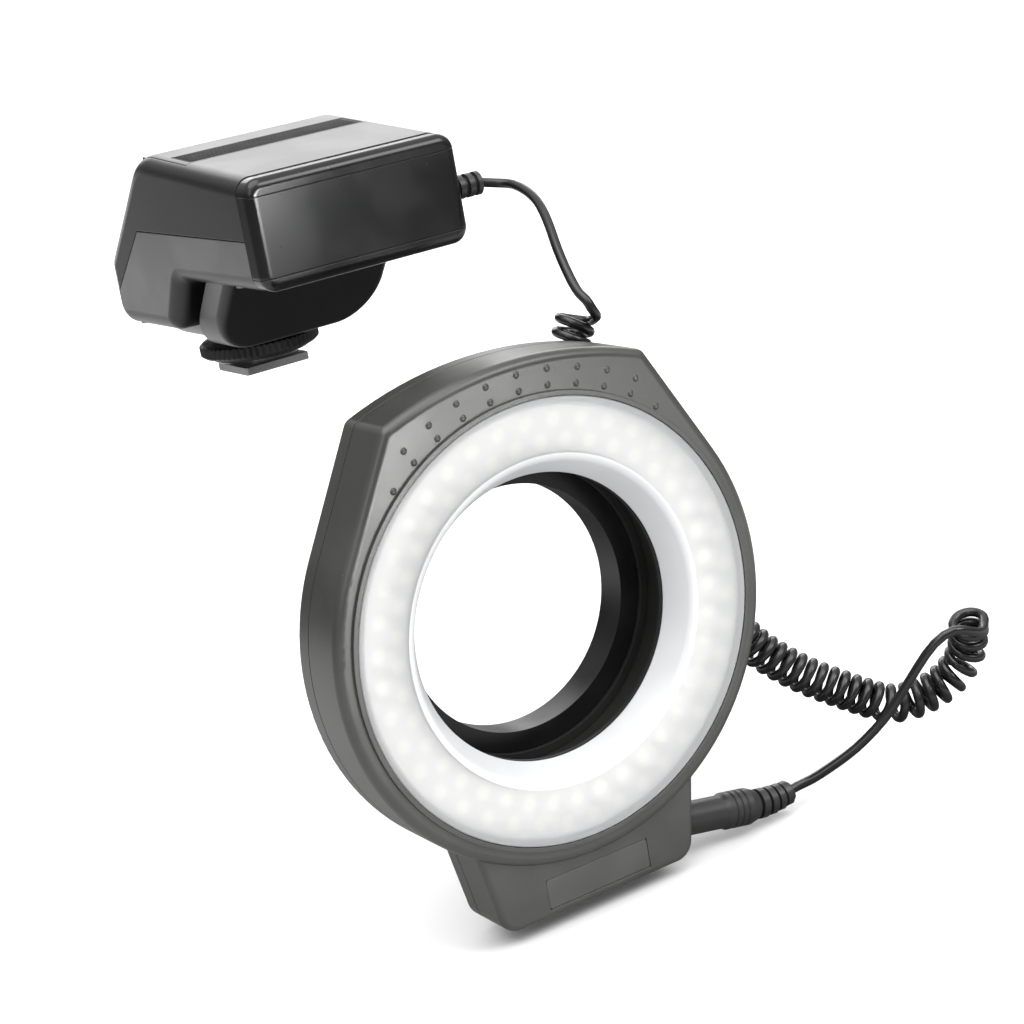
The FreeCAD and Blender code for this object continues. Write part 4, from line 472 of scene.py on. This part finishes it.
def makeFrostedWhite(look, centre):
    # Frosted plastic over two staggered rows of diodes, with a painted glow: a soft lighter spot over each,
    # found from the angle and the distance to the light's axis. The second row stands half a step on
    material, tree, shader = newMaterial("frostedWhite")
    place = addNode(tree, "ShaderNodeTexCoord").outputs["Object"]
    shift = addNode(tree, "ShaderNodeVectorMath", operation="SUBTRACT")
    tree.links.new(place, shift.inputs[0])
    shift.inputs[1].default_value = centre
    axes = addNode(tree, "ShaderNodeSeparateXYZ")
    tree.links.new(shift.outputs[0], axes.inputs[0])
    x, y, z = axes.outputs
    radius = maths(tree, "SQRT", maths(tree, "ADD", maths(tree, "MULTIPLY", x, x),
                                       maths(tree, "MULTIPLY", z, z)))
    angle = maths(tree, "ARCTAN2", z, x)
    spots = []
    for index, row in enumerate(look["rows"]):
        turns = maths(tree, "MULTIPLY", angle, look["count"] / (2 * math.pi))
        turns = maths(tree, "ADD", turns, look["count"] + 0.5 * index)
        off = maths(tree, "SUBTRACT", maths(tree, "FRACT", turns), 0.5)
        arc = maths(tree, "MULTIPLY", off, 2 * math.pi * row * mm / look["count"])
        reach = maths(tree, "SUBTRACT", radius, row * mm)
        distance = maths(tree, "SQRT", maths(tree, "ADD", maths(tree, "MULTIPLY", arc, arc),
                                             maths(tree, "MULTIPLY", reach, reach)))
        spots.append(spread(tree, distance, look["spotIn"] * mm, look["spotOut"] * mm, 1.0, 0.0))
    # Painted glow: the colour is lighter over each diode, standing in for the diodes seen through the
    # plastic
    tone = blendColour(tree, maths(tree, "MAXIMUM", *spots), look["between"], look["spot"])
    grain = useGroup(tree, mouldedGrain, {"Size": look["grain"]})
    rough = spread(tree, grain.outputs["Tone"], 0.0, 1.0, look["smooth"], look["rough"])
    bump = addRelief(tree, grain, look["relief"])
    feed(tree, shader, {"Base Color": tone, "Roughness": rough, "Normal": bump.outputs[0]})
    setShader(shader, look)
    return material


diffuser, ringCentre = makeDiffuser(diffuserShape)
diffuser.data.materials.append(makeFrostedWhite(frostLook, ringCentre))
collarLook = dict(trayLook, dark=(0.60, 0.605, 0.615), light=(0.64, 0.645, 0.655), smooth=0.3, rough=0.36)
diffuser.data.materials.append(solidFinish("collarWhite", collarLook))


def giveCollar(piece, centre, radius):
    # The faces inside the radius take the second, opaque material
    middles = np.empty(len(piece.data.polygons) * 3)
    piece.data.polygons.foreach_get("center", middles)
    middles = middles.reshape(-1, 3) - np.array(centre)
    inside = np.hypot(middles[:, 0], middles[:, 2]) < radius * mm
    piece.data.polygons.foreach_set("material_index", inside.astype(np.int32))


giveCollar(diffuser, ringCentre, diffuserShape["collarR"])
print("diffuser made")


# Cord: from the control unit's relief, down through the curls, round and into the plug.
# Its points, in mm, are listed as the control points of a smooth curve

cordShape = {
    "diameter": 2.4,
    "curlRadius": 3.9,
    "pitch": 2.95,
    "startSide": (0.82, -0.57, 0.0),
    "endSide": (0.50, -0.85, -0.1),
    "perTurn": 14,
    "axisDetail": 240,
    "axisSteps": 3000,
    "mostOpening": 0.6,
    "exit": (38.0, -64.1, 42.5),
    "upper": [
        (42.7, -65.5, 41.3), (44.5, -69.5, 40.9), (44.1, -76.5, 39.1), (43.2, -81.5, 37.2),
        (41.7, -86.0, 34.7), (40.0, -90.3, 31.9), (38.0, -94.6, 28.8), (36.4, -98.6, 25.8),
        (35.2, -102.2, 22.9), (34.3, -105.6, 20.0), (33.8, -108.4, 17.9), (34.1, -110.7, 16.6),
        (34.7, -111.2, 14.3),
    ],
    "axis": [
        (35.2, -103.6, 12.2), (32.6, -103.6, 7.6), (30.6, -103.6, 1.5), (31.6, -103.6, -7.5),
        (37.0, -103.6, -18.0), (45.0, -103.6, -31.5), (52.5, -103.6, -47.5), (59.5, -103.6, -64.0),
        (66.5, -103.3, -79.0), (77.0, -109.5, -91.0), (89.3, -118.1, -99.8), (98.6, -123.0, -105.4),
        (109.4, -128.9, -101.9), (114.6, -132.8, -94.9), (114.0, -135.9, -87.3),
        (113.2, -137.2, -83.6),
    ],
    "lower": [
        (107.2, -144.8, -83.4), (102.6, -144.1, -81.2), (97.7, -141.8, -83.6), (93.9, -139.0, -89.3),
        (90.1, -135.6, -96.3), (86.7, -132.6, -102.1), (81.3, -129.8, -107.0), (77.3, -127.6, -109.9),
        (72.6, -125.0, -112.6), (68.6, -122.6, -114.8),
    ],
    "plugEnd": (62.54, -121.1, -115.9),
    "plugWay": (0.9936, 0.0, 0.1132),
}


def splineObject(name, points):
    # One open quadratic spline, clamped to its first and last point
    data = bpy.data.curves.new(name, "CURVE")
    data.dimensions = "3D"
    spline = data.splines.new("NURBS")
    spline.points.add(len(points) - 1)
    flat = np.column_stack([points, np.ones(len(points))]).astype(np.float32)
    spline.points.foreach_set("co", flat.ravel())
    spline.order_u = 3
    spline.use_endpoint_u = True
    return link(bpy.data.objects.new(name, data))


def pointsOn(curve, resolution):
    curve.data.resolution_u = resolution
    bpy.context.view_layer.update()
    mesh = bpy.data.meshes.new_from_object(curve)
    points = np.empty(len(mesh.vertices) * 3)
    mesh.vertices.foreach_get("co", points)
    bpy.data.meshes.remove(mesh)
    return points.reshape(-1, 3)


def unit(v):
    return v / np.linalg.norm(v, axis=-1, keepdims=True)


def evenly(points, count):
    # The same line with count + 1 points at equal steps of its length
    length = np.concatenate([[0.0], np.cumsum(np.linalg.norm(np.diff(points, axis=0), axis=1))])
    at = np.linspace(0.0, length[-1], count + 1)
    return np.column_stack([np.interp(at, length, points[:, k]) for k in range(3)]), at


def curlPoints(shape):
    # Left-hand helix: axis point + (side cos a + across sin a) r, with a falling one turn a
    # pitch. The pitch opens with the axis's bend, and side is carried along without twist
    axisCurve = splineObject("curlAxis", np.array(shape["axis"]))
    points, at = evenly(pointsOn(axisCurve, shape["axisDetail"]), shape["axisSteps"])
    bpy.data.objects.remove(axisCurve)
    r = shape["curlRadius"]
    step = at[1]
    way = unit(np.gradient(points, step, axis=0))
    curve = np.linalg.norm(np.gradient(way, step, axis=0), axis=1)
    side = np.empty_like(way)
    carried = np.array([1.0, 0.0, 0.0])
    for i, w in enumerate(way):
        carried = unit(carried - w * (carried @ w))
        side[i] = carried
    across = np.cross(way, side)
    perStep = (1 - np.minimum(r * curve, shape["mostOpening"])) / shape["pitch"] * step
    turns = np.concatenate([[0.0], np.cumsum(perStep[:-1])])

    def sideAngle(i, wanted):
        return math.atan2(np.dot(wanted, across[i]), np.dot(wanted, side[i]))
    start = sideAngle(0, shape["startSide"])
    stop = sideAngle(-1, shape["endSide"])
    part = (start - stop) / (2 * math.pi)
    total = math.floor(turns[-1] - part) + part % 1.0
    count = int(total * shape["perTurn"])
    turn = np.linspace(0.0, total, count + 1)
    where = turn * turns[-1] / total

    def sampled(values):
        return np.column_stack([np.interp(where, turns, values[:, k]) for k in range(3)])
    centre = sampled(points)
    s = unit(sampled(side))
    c = unit(sampled(across))
    a = (start - 2 * math.pi * turn)[:, None]
    wide = r / math.cos(math.pi / shape["perTurn"])
    print("curls:", round(total, 2), "turns")
    return centre + (s * np.cos(a) + c * np.sin(a)) * wide


def makeCord(shape):
    # Short straight stretches lead into the curls, out of them and into the plug
    curls = curlPoints(shape)
    d = shape["diameter"]
    enterWay = unit(curls[1] - curls[0])
    leaveWay = unit(curls[-1] - curls[-2])
    end = np.array(shape["plugEnd"])
    route = np.vstack([
        [shape["exit"]], shape["upper"],
        [curls[0] - enterWay * 2 * d, curls[0] - enterWay * d], curls, [curls[-1] + leaveWay * 2 * d],
        shape["lower"], [end + np.array(shape["plugWay"]) * 1.3 * d, end],
    ])
    cord = splineObject("cord", route * mm)
    line = pointsOn(cord, 6)
    # The points carry the wire's radius, so that the curve's own box stays round the wire
    cord.data.splines[0].points.foreach_set("radius", np.full(len(route), d / 2 * mm))
    cord.data.resolution_u = 2
    cord.data.bevel_depth = 1.0
    cord.data.bevel_resolution = 4
    cord.data.use_fill_caps = True
    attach(cord, "light_and_case")
    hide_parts("upper_lead", "cord_curls", "lower_lead")
    return cord


cordLook = {
    "dark": (0.009, 0.009, 0.009), "light": (0.013, 0.013, 0.0125), "edgeHighlightTone": (0.05, 0.05, 0.05),
    "edgeHighlightShare": 0.0, "dust": 0.2, "smooth": 0.22, "rough": 0.32, "grain": 0.8, "relief": 0.12,
    "edge": 0.1, "shader": {"Specular IOR Level": 0.55},
}
cordRubber = solidFinish("cordRubber", cordLook)
cord = makeCord(cordShape)
cord.data.materials.append(cordRubber)
plugLook = dict(cordLook, dark=(0.03, 0.03, 0.03), light=(0.038, 0.038, 0.037), smooth=0.36, rough=0.46,
                edge=0.25, edgeHighlightShare=0.2, relief=0.2)
coat(solidFinish("plugRubber", plugLook), "plug", "cord_relief")
print("cord made")


# Pale floor and soft studio light

studio = {
    "floorDrop": 2.0, "floorReach": 14.0, "floorTone": (0.92, 0.92, 0.92), "floorRough": 0.9,
    "nearReach": 0.3, "farReach": 1.1, "nearTone": 0.6, "farTone": 0.1,
    "shadePlace": (0.12, 0.0), "shadeFrom": 0.1, "shadeTo": 0.24, "shadeTone": 0.06,
    "skyFrom": -0.05, "skyTo": 0.9, "skyLow": 0.1, "skyHigh": 1.0, "seen": 1.05,
    "sunPower": 2.2, "sunAngle": 60.0, "sunTilt": (12.0, -10.0),
    "aim": (0.0, -0.1, -0.02),
}
panels = {
    "backPanel": {"place": (0.72, 1.19, 0.62), "size": (1.5, 0.8), "power": 9.0},
    "leftPanel": {"place": (-0.85, -0.75, 0.55), "size": (0.5, 0.7), "power": 1.6},
    "windowPanel": {"place": (0.07, -0.57, 0.025), "size": (0.24, 0.06), "power": 1.7,
                    "onto": ("front_frame", "front_window", "upper_shell")},
    "lowPanel": {"place": (0.105, -0.57, -0.1), "size": (0.25, 0.045), "power": 1.15,
                 "onto": ("head_front_shell", "head_rear_shell", "badge_plate", "diffuser")},
    "sidePanel": {"place": (-0.3, 0.62, -0.07), "size": (0.3, 0.09), "power": 0.17,
                  "onto": ("lower_shell",)},
    "slopePanel": {"place": (-0.08, 0.7, -0.04), "size": (0.22, 0.2), "power": 0.28,
                   "onto": ("upper_shell",)},
    "keyPanel": {"place": (0.68, -1.1, 0.95), "size": (0.7, 0.7), "power": 8.0},
}


def makeFloor(look):
    low = cadBox[0].z - look["floorDrop"] * mm
    wide = look["floorReach"]
    corners = [(-wide, -wide, low), (wide, -wide, low), (wide, wide, low), (-wide, wide, low)]
    mesh = bpy.data.meshes.new("floor")
    mesh.from_pydata(corners, [], [(0, 1, 2, 3)])
    material, tree, shader = newMaterial("paleFloor")
    # Painted shade: in reflections its colour is painted darker away from the light, as a table edge under
    # soft boxes looks
    seen = addNode(tree, "ShaderNodeLightPath").outputs["Is Camera Ray"]
    place = addNode(tree, "ShaderNodeTexCoord").outputs["Object"]
    away = addNode(tree, "ShaderNodeVectorMath", operation="LENGTH")
    tree.links.new(place, away.inputs[0])
    distant = spread(tree, away.outputs["Value"], look["nearReach"], look["farReach"], 0.0, 1.0)
    # Painted shadow: between head and case its reflected colour is painted dark, as their shade
    off = addNode(tree, "ShaderNodeVectorMath", operation="DISTANCE")
    tree.links.new(place, off.inputs[0])
    off.inputs[1].default_value = (*look["shadePlace"], low)
    clear = spread(tree, off.outputs["Value"], look["shadeFrom"], look["shadeTo"], 0.0, 1.0)
    near = blendColour(tree, clear, (look["shadeTone"],) * 3, (look["nearTone"],) * 3)
    reflected = blendColour(tree, distant, near, (look["farTone"],) * 3)
    tone = blendColour(tree, seen, reflected, look["floorTone"])
    feed(tree, shader, {"Base Color": tone, "Roughness": look["floorRough"]})
    mesh.materials.append(material)
    link(bpy.data.objects.new("floor", mesh))


def makeSky(look):
    # Dim at the horizon and bright overhead; seen directly it is as white as the floor
    world = bpy.data.worlds.new("studio")
    world.use_nodes = True
    tree = world.node_tree
    tree.nodes.clear()
    way = addNode(tree, "ShaderNodeTexCoord").outputs["Generated"]
    axes = addNode(tree, "ShaderNodeSeparateXYZ")
    tree.links.new(way, axes.inputs[0])
    light = spread(tree, axes.outputs[2], look["skyFrom"], look["skyTo"], look["skyLow"], look["skyHigh"])
    seen = addNode(tree, "ShaderNodeLightPath").outputs["Is Camera Ray"]
    strength = maths(tree, "ADD", maths(tree, "MULTIPLY", seen, look["seen"]),
                     maths(tree, "MULTIPLY", maths(tree, "SUBTRACT", 1.0, seen), light))
    back = addNode(tree, "ShaderNodeBackground")
    feed(tree, back, {"Color": (1.0, 1.0, 1.0, 1.0), "Strength": strength})
    out = addNode(tree, "ShaderNodeOutputWorld")
    tree.links.new(back.outputs[0], out.inputs[0])
    scene.world = world


def makeLights(look, panels):
    sun = bpy.data.lights.new("overhead", "SUN")
    sun.energy = look["sunPower"]
    sun.angle = math.radians(look["sunAngle"])
    lamp = link(bpy.data.objects.new("overhead", sun))
    lamp.rotation_euler = (math.radians(look["sunTilt"][0]), math.radians(look["sunTilt"][1]), 0.0)
    middle = Vector(look["aim"])
    for name, panel in panels.items():
        area = bpy.data.lights.new(name, "AREA")
        area.shape = "RECTANGLE"
        area.size, area.size_y = panel["size"]
        area.energy = panel["power"]
        lamp = link(bpy.data.objects.new(name, area))
        lamp.location = panel["place"]
        lamp.rotation_euler = (middle - lamp.location).to_track_quat("-Z", "Y").to_euler()
        lamp.visible_camera = False
        if "onto" in panel:
            # A small reflector that only these pieces see
            seen = bpy.data.collections.new(name + "Onto")
            for piece in panel["onto"]:
                seen.objects.link(nodes[piece] if piece in nodes else bpy.data.objects[piece])
            lamp.light_linking.receiver_collection = seen


makeFloor(studio)
makeSky(studio)
makeLights(studio, panels)
scene.view_settings.view_transform = "Standard"
print("studio lit")
